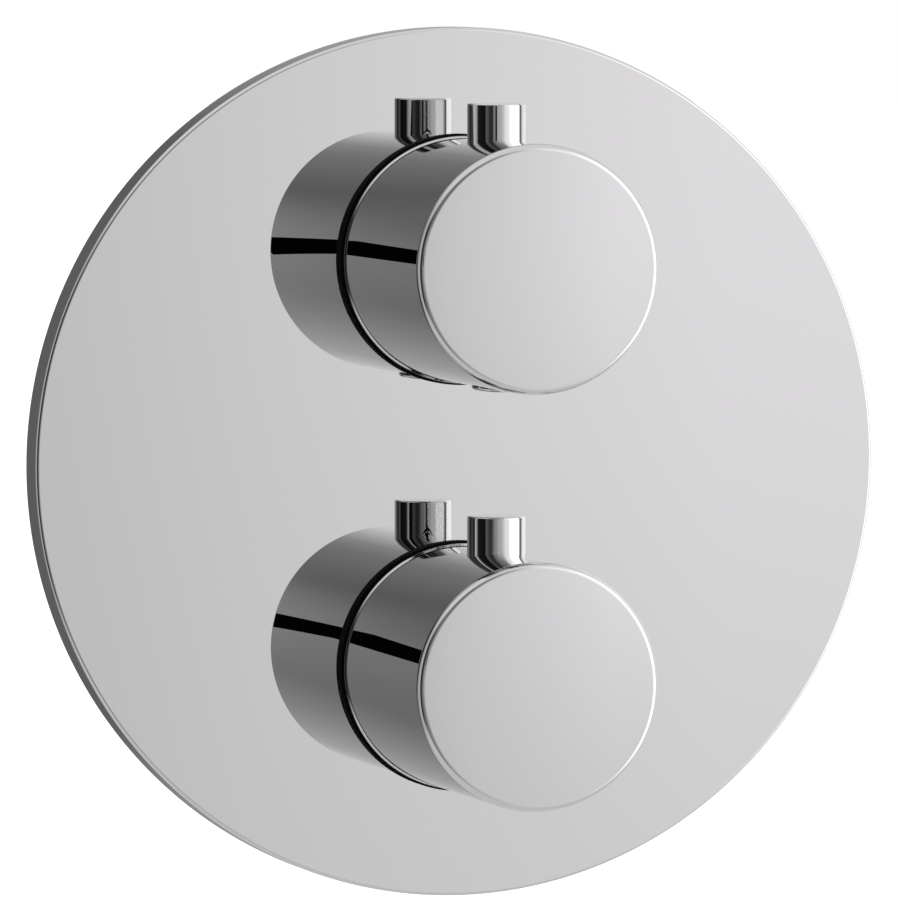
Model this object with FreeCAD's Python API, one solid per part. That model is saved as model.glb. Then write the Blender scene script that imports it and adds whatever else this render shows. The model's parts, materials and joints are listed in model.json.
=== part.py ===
import FreeCAD, Part
import math
import os

# Concealed thermostatic shower valve: cover plate, two controls, two cartridges
# and the brass body that is buried in the wall. Sizes are millimetres.
# Frame: +X right, +Y into the wall, +Z up, as seen by somebody facing the wall.
# The origin is the centre of the cover plate's back edge, on the finished wall.

# ---------------------------------------------------------------- cover plate
PLATE_RADIUS = 85.0
PLATE_DEPTH = 8.0
PLATE_SKIN = 1.5
GASKET_WIDTH = 4.0
GASKET_DEPTH = 2.0
GASKET_FIT = 0.1

# Buffed edge of the plate: each pair is the tilt that an arc reaches, in degrees, and its radius.
PLATE_ROLL = ((9.5, 2.0), (22.0, 1.5), (59.0, 0.45), (90.0, 1.0))

# ------------------------------------------------------------- control knobs
KNOB_SPACING = 79.5
KNOB_RADIUS = 23.85
KNOB_PROJECTION = 55.2
KNOB_WALL = 2.85
KNOB_FACE_WALL = 3.2
KNOB_SHOULDER = 1.5

# Front of a knob: a faint dome up to this tilt, then the arcs of its buffed edge.
KNOB_DOME_TILT = 1.5
KNOB_ROLL = ((9.5, 21.6), (22.0, 3.9), (59.0, 0.66), (90.0, 2.4))

# Lip at the rear of a knob, with a fine groove in front of it.
KNOB_LIP_RISE = 0.25
KNOB_LIP_LENGTH = 1.65
KNOB_LIP_EDGE = 0.2
KNOB_GROOVE_DEPTH = 0.35
KNOB_GROOVE_WIDTH = 0.3

# Black ring on the plate behind each knob.
BASE_RING_DEPTH = 1.6
BASE_RING_SHOW = 0.4
BASE_RING_PLAY = 0.18

# Round lever pin that stands on top of each knob.
PIN_RADIUS = 5.65
PIN_HEIGHT = 7.1
PIN_STATION = 25.8
PIN_EDGE = 0.4
PIN_SEAT_DEPTH = 0.95
PIN_STUD_RADIUS = 2.5
PIN_STUD_LENGTH = 4.0

# Safety button on the underside of the temperature knob.
BUTTON_RADIUS = 4.8
BUTTON_PROUD = 0.7
BUTTON_TRAVEL = 1.5
BUTTON_CAP_LENGTH = 5.85
BUTTON_EDGE = 0.3
BUTTON_STEM_RADIUS = 2.0
BUTTON_FOOT_WIDTH = 3.0
BUTTON_FOOT_HEIGHT = 1.4
BUTTON_FOOT_LENGTH = 4.4
BUTTON_FIT = 0.08
BUTTON_SPRING_RADIUS = 3.2
BUTTON_SPRING_WIRE = 0.25
BUTTON_SPRING_TURNS = 3.0
TONGUE_HEIGHT = 1.2
TONGUE_WIDTH = 12.0
BUTTON_SPRING_PRESSED = 2.1
TONGUE_LIP = 0.9
FOOT_FIT = 0.2

# Ring that the button's foot meets at the comfort temperature.
STOP_RING_ROOM = 4.5
STOP_RING_DEPTH = 1.6
STOP_LUG_HEIGHT = 1.3
STOP_LUG_ANGLE = 20.0
STOP_LUG_LEAD = 8.0
STOP_CLEARANCE = 0.3
STOP_KEY_HEIGHT = 1.0

# --------------------------------------------------- spindles, necks, splines
NECK_REACH = 37.0
NECK_RADIUS = 10.0
JOURNAL_RADIUS = 5.0
JOURNAL_LENGTH = 8.6
COLLAR_RADIUS = 7.3
COLLAR_LENGTH = 3.0
SPLINE_LENGTH = 8.0
SPLINE_RADIUS = 4.75
SPLINE_DEPTH = 0.5
SPLINE_TEETH = 20
SPLINE_GAP = 1.4
END_PLAY = 0.2
CIRCLIP_PLAY = 0.1
SPINDLE_SEAL_SECTION = 1.04
SPINDLE_SEAL_OFFSETS = (2.5, 5.5)
SPINDLE_SEAL_SLACK = 0.08
CIRCLIP_WIDTH = 0.8
CIRCLIP_RADIUS = 6.3
CIRCLIP_GROOVE = 0.8
CIRCLIP_GAP_ANGLE = 40.0
RUNNING_FIT = 0.06
SEAT_FIT = 0.02
LOOSE_FIT = 0.3

# Plastic adaptor that joins a knob to its spindle.
ADAPTOR_WEB = 7.0
ADAPTOR_HUB_RADIUS = 8.0
GRUB_RADIUS = 2.0
GRUB_LENGTH = 8.0
GRUB_SOCKET_FLATS = 2.0
GRUB_SOCKET_DEPTH = 2.5
GRUB_ACCESS_FIT = 0.3

# --------------------------------------------------- sleeves and bonnet nuts
SLEEVE_RADIUS = 17.5
SLEEVE_REACH = 25.0
SLEEVE_WALL = 2.9
SPIGOT_REACH = 16.0
THREAD_FIT = 0.1
BONNET_FLANGE = 3.0
BONNET_SKIRT_RADIUS = 16.9
BONNET_SKIRT_LENGTH = 10.0
PLATE_HOLE_FIT = 0.7
ORING_SECTION = 1.76
ORING_SQUEEZE = 0.02
ORING_SIDE_PLAY = 0.1
FIRST_SEAL_OFFSET = 2.5
REAR_SEAL_OFFSET = 4.5

# -------------------------------------------------------------- in-wall body
TOWER_RADIUS = 20.5
TOWER_FRONT_Y = 4.0
BODY_REAR_Y = 80.0
BODY_REAR_WALL = 4.0
BORE_RADIUS = 14.0
CARTRIDGE_FIT = 0.3
PORT_Y = 48.0
PORT_REACH = 50.0
PORT_BOSS_RADIUS = 12.0
PORT_HEX_FLATS = 27.0
PORT_HEX_LENGTH = 16.0
PORT_THREAD_RADIUS = 9.3
PORT_THREAD_LENGTH = 12.0
WINDOW_OFFSET = 3.0
WINDOW_WIDTH = 5.0
WINDOW_HALF_SPAN = 6.5
ANNULUS_RADIUS = 15.5
ANNULUS_MARGIN = 0.5
INLET_WAY_HALF_HEIGHT = 4.0
CHAMBER_RADIUS = 12.0
CHAMBER_LENGTH = 12.0
CHANNEL_RADIUS = 5.5
CHANNEL_WALL = 4.0
SPINE_WIDTH = 18.0
LUG_PLATE_WIDTH = 100.0
LUG_PLATE_HEIGHT = 30.0
LUG_PLATE_DEPTH = 6.0
LUG_CORNER = 6.0
LUG_SPACING_X = 84.0
LUG_SPACING_Z = 16.0
LUG_HOLE_RADIUS = 2.75

# ---------------------------------------------------- thermostatic cartridge
THREAD_LENGTH = 27.0
THREAD_RADIUS = 3.9
PLUNGER_FRONT_Y = -14.0
PLUNGER_REAR_Y = 30.0
PLUNGER_THREAD_DEPTH = 19.0
PLUNGER_WEB = 4.0
PLUNGER_CUP_RADIUS = 5.7
CUP_GROOVE = 0.7
CUP_CLIP_OVERLAP = 1.5
KEY_WIDTH = 2.4
KEY_HEIGHT = 1.3
KEY_FIT = 0.15
KEY_LENGTH = 22.0
KEY_WAY_LENGTH = 37.0
OVERLOAD_SPRING_LENGTH = 15.0
OVERLOAD_SPRING_RADIUS = 4.6
OVERLOAD_SPRING_WIRE = 0.5
OVERLOAD_SPRING_TURNS = 7.0
OVERLOAD_CAP_DEPTH = 2.5
ELEMENT_PISTON_RADIUS = 2.0
ELEMENT_PISTON_LENGTH = 9.5
ELEMENT_GUIDE_RADIUS = 4.5
ELEMENT_GUIDE_LENGTH = 6.0
ELEMENT_RADIUS = 6.5
ELEMENT_LENGTH = 16.0
SHUTTLE_LENGTH = 9.4
SHUTTLE_RIM = 1.7
SHUTTLE_HUB_WALL = 2.0
SHUTTLE_SPOKE_WIDTH = 2.4
SHUTTLE_SPOKE_LENGTH = 4.0
SHUTTLE_GROOVE_WIDTH = 1.8
SHUTTLE_RING_DEPTH = 0.9
SEAT_TUBE_RADIUS = 11.0
SEAT_FRONT_Y = 38.0
SEAT_END_WALL = 2.0
SEAT_OUTLET_RADIUS = 7.2
RETURN_SPRING_RADIUS = 9.7
RETURN_SPRING_WIRE = 0.6
RETURN_SPRING_TURNS = 4.0

# ----------------------------------------------------- flow control cartridge
FLOW_FLOOR_Y = 40.0
FLOW_BORE_RADIUS = 11.8
FLOW_BORE_FRONT_Y = 18.0
DISC_RADIUS = 11.5
DISC_DEPTH = 5.0
DISC_FACE_FIT = 0.02
FIXED_DISC_DEPTH = 4.5
DISC_HOLE_CIRCLE = 7.2
DISC_HOLE_RADIUS = 2.5
DISC_HOLE_ANGLES = (90.0, 225.0, 315.0)
DISC_CAVITY_HALF_ANGLE = 112.5
DISC_CAVITY_DEPTH = 2.2
DISC_EAR_WIDTH = 3.0
DISC_EAR_HEIGHT = 1.1
DISC_EAR_FIT = 0.1
BASE_SEAL_DEPTH = 3.5
DRIVE_PEG_RADIUS = 1.4
DRIVE_PEG_LENGTH = 1.4
DRIVE_PEG_CIRCLE = 8.0
FLOW_FLANGE_DEPTH = 3.0
FLOW_SHAFT_RADIUS = 6.0
FLOW_TAB_RADIUS = 10.3
FLOW_TAB_DEPTH = 2.0
FLOW_TAB_HALF_ANGLE = 10.0
FLOW_HALF_TURN = 90.0
FLOW_STOP_SLACK = 1.5
FLOW_HOUSING_GAP = 1.5
OUTLET_PASSAGE_RADIUS = 5.0
OUTLET_PASSAGE_SHIFT = 2.5
OUTLET_PASSAGE_WALL = 4.4

# --------------------------------------------------------------- check valves
CHECK_RADIUS = 7.9
CHECK_WALL = 1.5
CHECK_LENGTH = 15.0
CHECK_LEDGE = 1.5
PLENUM_DEPTH = 3.0
CHECK_SEAT_RADIUS = 4.5
CHECK_SEAT_DEPTH = 2.0
CHECK_BRIDGE_DEPTH = 2.0
CHECK_HUB_RADIUS = 3.0
CHECK_SPOKE_WIDTH = 1.8
POPPET_RADIUS = 5.6
POPPET_DEPTH = 1.8
POPPET_STEM_RADIUS = 1.5
POPPET_STEM_LENGTH = 11.0
CHECK_SPRING_RADIUS = 2.4
CHECK_SPRING_WIRE = 0.3
CHECK_SPRING_TURNS = 6.0
FILTER_DEPTH = 2.0
FILTER_MESH_DEPTH = 0.8
FILTER_RIM = 1.2
FILTER_HOLE_RADIUS = 0.55
FILTER_HOLE_RINGS = 3
FILTER_RING_STEP = 1.9

# ------------------------------------------------------------ derived places
UPPER_Z = KNOB_SPACING / 2
LOWER_Z = -KNOB_SPACING / 2
PLATE_FACE_Y = -PLATE_DEPTH
BASE_RING_REAR_Y = PLATE_FACE_Y - SEAT_FIT
BASE_RING_FRONT_Y = BASE_RING_REAR_Y - BASE_RING_DEPTH
KNOB_REAR_Y = BASE_RING_FRONT_Y - BASE_RING_PLAY
KNOB_FACE_Y = PLATE_FACE_Y - KNOB_PROJECTION
PIN_Y = PLATE_FACE_Y - PIN_STATION
NECK_FRONT_Y = -NECK_REACH
SPLINE_REAR_Y = NECK_FRONT_Y - SPLINE_GAP
SPLINE_FRONT_Y = SPLINE_REAR_Y - SPLINE_LENGTH
ADAPTOR_FRONT_Y = SPLINE_FRONT_Y - LOOSE_FIT
ADAPTOR_WEB_REAR_Y = ADAPTOR_FRONT_Y + ADAPTOR_WEB
GRUB_Y = ADAPTOR_FRONT_Y + ADAPTOR_WEB / 2
COLLAR_FRONT_Y = NECK_FRONT_Y + JOURNAL_LENGTH + END_PLAY
COLLAR_REAR_Y = COLLAR_FRONT_Y + COLLAR_LENGTH
NECK_BORE_RADIUS = COLLAR_RADIUS + LOOSE_FIT
SPIGOT_RADIUS = SLEEVE_RADIUS - SLEEVE_WALL - THREAD_FIT
BONNET_FLATS = 2 * SLEEVE_RADIUS
BONNET_FRONT_Y = TOWER_FRONT_Y - BONNET_FLANGE
BONNET_REAR_Y = TOWER_FRONT_Y + BONNET_SKIRT_LENGTH
CARTRIDGE_RADIUS = BORE_RADIUS - CARTRIDGE_FIT
CHAMBER_FRONT_Y = BODY_REAR_Y - BODY_REAR_WALL - CHAMBER_LENGTH
CHANNEL_Y = CHAMBER_FRONT_Y + CHAMBER_LENGTH / 2
KNOB_BORE_RADIUS = KNOB_RADIUS - KNOB_WALL
KNOB_LIP_RADIUS = KNOB_RADIUS + KNOB_LIP_RISE
KNOB_LIP_FRONT_Y = KNOB_REAR_Y - KNOB_LIP_LENGTH
STOP_RING_RADIUS = KNOB_BORE_RADIUS - STOP_RING_ROOM
TONGUE_SPRING_ROOM = BUTTON_SPRING_PRESSED + BUTTON_TRAVEL
PORT_SHOULDER = PORT_REACH - PORT_THREAD_LENGTH
CHECK_OUTER = PORT_SHOULDER - FILTER_DEPTH
CHECK_INNER = CHECK_OUTER - CHECK_LENGTH
TONGUE_OUTER = KNOB_RADIUS + BUTTON_PROUD - BUTTON_CAP_LENGTH - TONGUE_SPRING_ROOM
TONGUE_INNER = TONGUE_OUTER - TONGUE_HEIGHT
FOOT_OUTER = TONGUE_INNER - FOOT_FIT
FOOT_INNER = FOOT_OUTER - BUTTON_FOOT_HEIGHT
STOP_LUG_INNER = FOOT_OUTER + STOP_CLEARANCE
STOP_RING_FRONT_Y = PIN_Y + BUTTON_FOOT_LENGTH + STOP_CLEARANCE


def vector(x, y, z):
    """Point or direction."""
    return FreeCAD.Vector(x, y, z)


def rod_x(radius, x0, x1, y, z):
    """Round bar along X between two stations, in either order."""
    low = min(x0, x1)
    return Part.makeCylinder(radius, abs(x1 - x0), vector(low, y, z), vector(1, 0, 0))


def rod_y(radius, y0, y1, z, x=0.0):
    """Round bar along Y between two stations."""
    return Part.makeCylinder(radius, y1 - y0, vector(x, y0, z), vector(0, 1, 0))


def rod_z(radius, z0, z1, y, x=0.0):
    """Round bar along Z between two heights."""
    return Part.makeCylinder(radius, z1 - z0, vector(x, y, z0), vector(0, 0, 1))


def tube_y(outer, inner, y0, y1, z):
    """Round tube along Y."""
    return rod_y(outer, y0, y1, z).cut(rod_y(inner, y0, y1, z))


def block(x0, x1, y0, y1, z0, z1):
    """Box between two corners."""
    return Part.makeBox(x1 - x0, y1 - y0, z1 - z0, vector(x0, y0, z0))


def joined(*shapes):
    """One solid from pieces that meet."""
    whole = shapes[0]
    for shape in shapes[1:]:
        whole = whole.fuse(shape)
    return whole.removeSplitter()


def cut_all(shape, tools):
    """The shape with every tool taken away."""
    for tool in tools:
        shape = shape.cut(tool)
    return shape


def roll_reach(tilt, roll):
    """How far a run of tangent arcs reaches outward, from the tilt where it starts."""
    reach = 0.0
    for next_tilt, size in roll:
        reach += size * (math.sin(math.radians(next_tilt)) - math.sin(math.radians(tilt)))
        tilt = next_tilt
    return reach


def rolled(start, tilt, roll):
    """Outline entries, each the middle and end of an arc, that turn a face over to its side."""
    entries = []
    radius, y = start
    for next_tilt, size in roll:
        entry = ()
        for place in ((tilt + next_tilt) / 2, next_tilt):
            out = size * (math.sin(math.radians(place)) - math.sin(math.radians(tilt)))
            back = size * (math.cos(math.radians(tilt)) - math.cos(math.radians(place)))
            entry += (radius + out, y + back)
        entries.append(entry)
        radius, y = entry[2:]
        tilt = next_tilt
    return entries


def turned(outline, z):
    """Solid turned about a Y axis from (radius, y) points; an entry of four ends an arc."""
    edges = []
    last = vector(*outline[0], z)
    for entry in outline[1:] + outline[:1]:
        here = vector(*entry[-2:], z)
        if len(entry) == 4:
            edges.append(Part.Arc(last, vector(*entry[:2], z), here).toShape())
        else:
            edges.append(Part.makeLine(last, here))
        last = here
    face = Part.Face(Part.Wire(edges))
    return face.revolve(vector(0, 0, z), vector(0, 1, 0), 360)


def prism_y(points, y0, y1, z):
    """Straight prism along Y from (x, height) points about the axis at height z."""
    corners = [vector(x, y0, z + h) for x, h in points]
    face = Part.Face(Part.makePolygon(corners + corners[:1]))
    return face.extrude(vector(0, y1 - y0, 0))


def polar(radius, degrees):
    """Point seen from the front: 0 is +X and 90 is up."""
    angle = math.radians(degrees)
    return radius * math.cos(angle), radius * math.sin(angle)


def ring_sector(outer, inner, y0, y1, z, start, end):
    """Part of a tube along Y between two angles, seen from the front."""
    steps = max(2, math.ceil((end - start) / 30.0))
    reach = 1.2 * outer / math.cos(math.radians((end - start) / steps / 2))
    fan = [(0.0, 0.0)]
    for i in range(steps + 1):
        fan.append(polar(reach, start + (end - start) * i / steps))
    return tube_y(outer, inner, y0, y1, z).common(prism_y(fan, y0, y1, z))


def open_ring(outer, inner, y0, y1, z):
    """Ring along Y with a gap at the bottom, as a spring clip has."""
    half = CIRCLIP_GAP_ANGLE / 2
    return ring_sector(outer, inner, y0, y1, z, half - 90.0, 270.0 - half)


def hexagon_y(flats, y0, y1, z):
    """Hexagonal bar along Y by its size across flats."""
    corner = flats / 2 / math.cos(math.radians(30))
    return prism_y([polar(corner, 60 * i) for i in range(6)], y0, y1, z)


def hexagon_x(flats, x0, x1, y, z):
    """Hexagonal bar along X by its size across flats, in either order of ends."""
    low = min(x0, x1)
    corner = flats / 2 / math.cos(math.radians(30))
    corners = []
    for i in range(7):
        across, up = polar(corner, 60 * i)
        corners.append(vector(low, y + across, z + up))
    return Part.Face(Part.makePolygon(corners)).extrude(vector(abs(x1 - x0), 0, 0))


def spline_y(grow, y0, y1, z):
    """Toothed bar along Y; grow widens it for the hole that takes it."""
    points = []
    for i in range(2 * SPLINE_TEETH):
        radius = SPLINE_RADIUS + grow - (SPLINE_DEPTH if i % 2 else 0.0)
        points.append(polar(radius, 180.0 * i / SPLINE_TEETH))
    return prism_y(points, y0, y1, z)


def oring(outer, y, z):
    """Rubber ring about a Y axis, by the radius of its outside."""
    middle = outer - ORING_SECTION / 2
    return Part.makeTorus(middle, ORING_SECTION / 2, vector(0, y, z), vector(0, 1, 0))


def oring_groove(outer, y, z):
    """What a groove for such a ring takes out of the piece that carries it."""
    half = ORING_SECTION / 2 + ORING_SIDE_PLAY
    return tube_y(outer + 1.0, outer - ORING_SECTION - ORING_SQUEEZE, y - half, y + half, z)


def coil(radius, wire, length, turns, base, axis):
    """Compression spring with its wire centre line on a helix inside the given length."""
    rise = length - 2 * wire
    helix = Part.makeLongHelix(rise / turns, rise, radius)
    profile = Part.Wire(Part.makeCircle(wire, vector(radius, 0, 0), vector(0, 1, 0)))
    spring = Part.Wire(helix.Edges).makePipeShell([profile], True, True)
    spring.translate(vector(0, 0, wire))
    turn = FreeCAD.Rotation(vector(0, 0, 1), axis)
    spring.Placement = FreeCAD.Placement(base, turn).multiply(spring.Placement)
    return spring


# -------------------------------------------------------------------- trim
def cover_plate():
    """Round pan with two holes for the sleeves."""
    flat = (PLATE_RADIUS - roll_reach(0.0, PLATE_ROLL), PLATE_FACE_Y)
    outline = [(0, PLATE_FACE_Y), flat] + rolled(flat, 0.0, PLATE_ROLL) + [(PLATE_RADIUS, 0), (0, 0)]
    plate = turned(outline, 0)
    hollow = rod_y(PLATE_RADIUS - PLATE_SKIN, PLATE_FACE_Y + PLATE_SKIN, 0, 0)
    holes = []
    for z in (UPPER_Z, LOWER_Z):
        hole_radius = SLEEVE_RADIUS + PLATE_HOLE_FIT
        holes.append(rod_y(hole_radius, PLATE_FACE_Y, 0, z))
    return cut_all(plate, [hollow] + holes)


def plate_gasket():
    """Soft ring inside the rim that seals the plate to the wall."""
    outer = PLATE_RADIUS - PLATE_SKIN - GASKET_FIT
    return tube_y(outer, outer - GASKET_WIDTH, -GASKET_DEPTH, 0, 0)


def plate_seal_y():
    """Station of the ring that grips each sleeve, level with the plate's skin."""
    return PLATE_FACE_Y + PLATE_SKIN / 2


def sleeve(z):
    """Plain sleeve that screws onto a bonnet and carries the plate."""
    body = tube_y(SLEEVE_RADIUS, SPIGOT_RADIUS + THREAD_FIT, -SLEEVE_REACH, BONNET_FRONT_Y - END_PLAY, z)
    groove = oring_groove(SLEEVE_RADIUS + PLATE_HOLE_FIT - ORING_SQUEEZE, plate_seal_y(), z)
    return body.cut(groove)


def sleeve_seals():
    """The pair of rings that hold the plate on the sleeves."""
    outer = SLEEVE_RADIUS + PLATE_HOLE_FIT - ORING_SQUEEZE
    return Part.makeCompound([oring(outer, plate_seal_y(), z) for z in (UPPER_Z, LOWER_Z)])


def base_ring(z):
    """Black ring round a sleeve, stuck on the plate, that closes the gap behind a knob."""
    outer = KNOB_LIP_RADIUS + BASE_RING_SHOW
    return tube_y(outer, SLEEVE_RADIUS + PLATE_HOLE_FIT, BASE_RING_FRONT_Y, BASE_RING_REAR_Y, z)


# ------------------------------------------------------------------ controls
def knob_outline():
    """Outside of a knob from the middle of its face to the middle of its rear."""
    dome = (KNOB_RADIUS - roll_reach(KNOB_DOME_TILT, KNOB_ROLL)) / math.sin(math.radians(KNOB_DOME_TILT))
    outline = [(0, KNOB_FACE_Y)]
    outline += rolled(outline[0], 0.0, ((KNOB_DOME_TILT, dome),) + KNOB_ROLL)
    floor = KNOB_RADIUS - KNOB_GROOVE_DEPTH
    outline.append((KNOB_RADIUS, KNOB_LIP_FRONT_Y - KNOB_GROOVE_WIDTH))
    outline.append((floor, KNOB_LIP_FRONT_Y - KNOB_GROOVE_WIDTH))
    outline.append((floor, KNOB_LIP_FRONT_Y))
    outline += rolled(outline[-1], 0.0, ((90.0, KNOB_LIP_RADIUS - floor),))
    rear = rolled((KNOB_LIP_RADIUS, KNOB_REAR_Y - KNOB_LIP_EDGE), 90.0, ((180.0, KNOB_LIP_EDGE),))
    return outline + [(KNOB_LIP_RADIUS, KNOB_REAR_Y - KNOB_LIP_EDGE)] + rear + [(0, KNOB_REAR_Y)]


def knob(z):
    """Hollow round knob, slightly domed in front, with a seat for its lever pin."""
    shell = turned(knob_outline(), z)
    bore = rod_y(KNOB_BORE_RADIUS, ADAPTOR_FRONT_Y, KNOB_REAR_Y, z)
    deep = rod_y(KNOB_BORE_RADIUS - KNOB_SHOULDER, KNOB_FACE_Y + KNOB_FACE_WALL, ADAPTOR_FRONT_Y, z)
    seat = rod_z(PIN_RADIUS + SEAT_FIT, z + KNOB_RADIUS - PIN_SEAT_DEPTH, z + KNOB_RADIUS + 1, PIN_Y)
    stud = rod_z(PIN_STUD_RADIUS + SEAT_FIT, z + KNOB_BORE_RADIUS - 2, z + KNOB_RADIUS, PIN_Y)
    access = rod_z(GRUB_RADIUS + GRUB_ACCESS_FIT, z - KNOB_RADIUS - 1, z - KNOB_BORE_RADIUS + 1, GRUB_Y)
    return cut_all(shell, [bore, deep, seat, stud, access])


def temperature_knob():
    """Upper knob: as the other, with the hole for the safety button."""
    hole_radius = BUTTON_RADIUS + BUTTON_FIT
    hole = rod_z(hole_radius, UPPER_Z - KNOB_RADIUS - 1, UPPER_Z - KNOB_BORE_RADIUS + 2, PIN_Y)
    return knob(UPPER_Z).cut(hole)


def lever_pin(z):
    """Round lever pin with its threaded stud."""
    seat = z + KNOB_RADIUS - PIN_SEAT_DEPTH
    top = z + KNOB_RADIUS + PIN_HEIGHT
    post = rod_z(PIN_RADIUS, seat, top, PIN_Y)
    rim = [e for e in post.Edges if isinstance(e.Curve, Part.Circle) and abs(e.Curve.Center.z - top) < 1e-4]
    post = post.makeFillet(PIN_EDGE, rim)
    return joined(post, rod_z(PIN_STUD_RADIUS, seat - PIN_STUD_LENGTH, seat, PIN_Y))


def adaptor(z):
    """Plastic disc pressed in a knob, with the splined hub for the spindle."""
    hub_rear = SPLINE_REAR_Y - END_PLAY
    web = rod_y(KNOB_BORE_RADIUS - SEAT_FIT, ADAPTOR_FRONT_Y, ADAPTOR_WEB_REAR_Y, z)
    hub = rod_y(ADAPTOR_HUB_RADIUS, ADAPTOR_FRONT_Y, hub_rear, z)
    hole = spline_y(RUNNING_FIT, ADAPTOR_FRONT_Y, hub_rear, z)
    screw = rod_z(GRUB_RADIUS + SEAT_FIT, z - KNOB_BORE_RADIUS - 1, z - SPLINE_RADIUS + 1, GRUB_Y)
    return cut_all(joined(web, hub), [hole, screw])


def temperature_adaptor():
    """Adaptor of the upper knob: its tongue guides the safety button."""
    rear = PIN_Y + BUTTON_STEM_RADIUS + FOOT_FIT + TONGUE_LIP
    half = TONGUE_WIDTH / 2
    z = UPPER_Z
    tongue = block(-half, half, ADAPTOR_WEB_REAR_Y - 1, rear, z - TONGUE_OUTER, z - TONGUE_INNER)
    low = z - TONGUE_OUTER - 1
    high = z - TONGUE_INNER + 1
    guide = rod_z(BUTTON_STEM_RADIUS + FOOT_FIT, low, high, PIN_Y)
    slot_half = BUTTON_FOOT_WIDTH / 2 + FOOT_FIT
    slot_end = BUTTON_FOOT_LENGTH + FOOT_FIT
    slot = block(0, slot_end, PIN_Y - slot_half, PIN_Y + slot_half, low, high)
    return cut_all(joined(adaptor(z), tongue), [guide, slot])


def grub_screw(z):
    """Socket set screw that locks an adaptor on its spindle, from below."""
    tip = z - SPLINE_RADIUS - 0.05
    screw = rod_z(GRUB_RADIUS, tip - GRUB_LENGTH, tip, GRUB_Y)
    corner = GRUB_SOCKET_FLATS / 2 / math.cos(math.radians(30))
    corners = []
    for i in range(7):
        x, y = polar(corner, 60 * i)
        corners.append(vector(x, GRUB_Y + y, tip - GRUB_LENGTH))
    socket = Part.Face(Part.makePolygon(corners)).extrude(vector(0, 0, GRUB_SOCKET_DEPTH))
    return screw.cut(socket)


def safety_button():
    """Push button whose foot hooks behind the stop ring's lug."""
    end = UPPER_Z - KNOB_RADIUS - BUTTON_PROUD
    cap = rod_z(BUTTON_RADIUS, end, end + BUTTON_CAP_LENGTH, PIN_Y)
    sweep = rod_y(KNOB_RADIUS + BUTTON_PROUD, PIN_Y - 2 * BUTTON_RADIUS, PIN_Y + 2 * BUTTON_RADIUS, UPPER_Z)
    cap = cap.common(sweep).removeSplitter()
    top = end + BUTTON_CAP_LENGTH
    rim = [e for e in cap.Edges if not isinstance(e.Curve, Part.Line) and e.BoundBox.ZMax < top - 1]
    cap = cap.makeFillet(BUTTON_EDGE, rim)
    stem = rod_z(BUTTON_STEM_RADIUS, end + BUTTON_CAP_LENGTH, UPPER_Z - FOOT_INNER, PIN_Y)
    half = BUTTON_FOOT_WIDTH / 2
    foot = block(-half, half, PIN_Y, PIN_Y + BUTTON_FOOT_LENGTH, UPPER_Z - FOOT_OUTER, UPPER_Z - FOOT_INNER)
    return joined(cap, stem, foot)


def safety_button_spring():
    """Coil round the button's stem, between the tongue and the cap."""
    base = vector(0, PIN_Y, UPPER_Z - TONGUE_OUTER)
    return coil(
        BUTTON_SPRING_RADIUS,
        BUTTON_SPRING_WIRE,
        TONGUE_SPRING_ROOM,
        BUTTON_SPRING_TURNS,
        base,
        vector(0, 0, -1),
    )


def temperature_stop_ring():
    """Ring keyed to the neck, with the lug for the comfort temperature."""
    rear = STOP_RING_FRONT_Y + STOP_RING_DEPTH
    ring = tube_y(STOP_RING_RADIUS, NECK_RADIUS + SEAT_FIT, STOP_RING_FRONT_Y, rear, UPPER_Z)
    start = -90.0 + STOP_LUG_LEAD
    end = start + STOP_LUG_ANGLE
    front = STOP_RING_FRONT_Y - STOP_LUG_HEIGHT
    lug = ring_sector(STOP_RING_RADIUS, STOP_LUG_INNER, front, STOP_RING_FRONT_Y, UPPER_Z, start, end)
    half = KEY_WIDTH / 2
    top = UPPER_Z + NECK_RADIUS
    key = block(-half, half, STOP_RING_FRONT_Y, rear, top - STOP_KEY_HEIGHT, top + STOP_KEY_HEIGHT)
    return joined(ring, lug, key)


# ----------------------------------------------------- parts of both cartridges
def bonnet(z):
    """Nut that holds a cartridge in its tower and carries the sleeve."""
    spigot = rod_y(SPIGOT_RADIUS, -SPIGOT_REACH, BONNET_FRONT_Y, z)
    flange = hexagon_y(BONNET_FLATS, BONNET_FRONT_Y, TOWER_FRONT_Y, z)
    skirt = rod_y(BONNET_SKIRT_RADIUS, TOWER_FRONT_Y, BONNET_REAR_Y, z)
    bore = rod_y(NECK_RADIUS + THREAD_FIT, -SPIGOT_REACH, BONNET_REAR_Y, z)
    return joined(spigot, flange, skirt).cut(bore)


def first_seal_y():
    """Station of the ring that seals either cartridge near the bonnet."""
    return BONNET_REAR_Y + FIRST_SEAL_OFFSET


def spindle_front(z):
    """Splined head, journal and collar that both spindles have."""
    head = spline_y(0.0, SPLINE_FRONT_Y, SPLINE_REAR_Y, z)
    journal = rod_y(JOURNAL_RADIUS, SPLINE_REAR_Y, COLLAR_FRONT_Y, z)
    collar = rod_y(COLLAR_RADIUS, COLLAR_FRONT_Y, COLLAR_REAR_Y, z)
    clip_rear = NECK_FRONT_Y - CIRCLIP_PLAY
    clip_floor = JOURNAL_RADIUS - CIRCLIP_GROOVE
    clip = tube_y(JOURNAL_RADIUS + 1, clip_floor, clip_rear - CIRCLIP_WIDTH, clip_rear, z)
    front = joined(head, journal, collar).cut(clip)
    floor = JOURNAL_RADIUS - SPINDLE_SEAL_SECTION - SPINDLE_SEAL_SLACK / 2
    half = SPINDLE_SEAL_SECTION / 2 + SPINDLE_SEAL_SLACK
    for offset in SPINDLE_SEAL_OFFSETS:
        y = NECK_FRONT_Y + offset
        front = front.cut(tube_y(JOURNAL_RADIUS + 1, floor, y - half, y + half, z))
    return front


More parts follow.
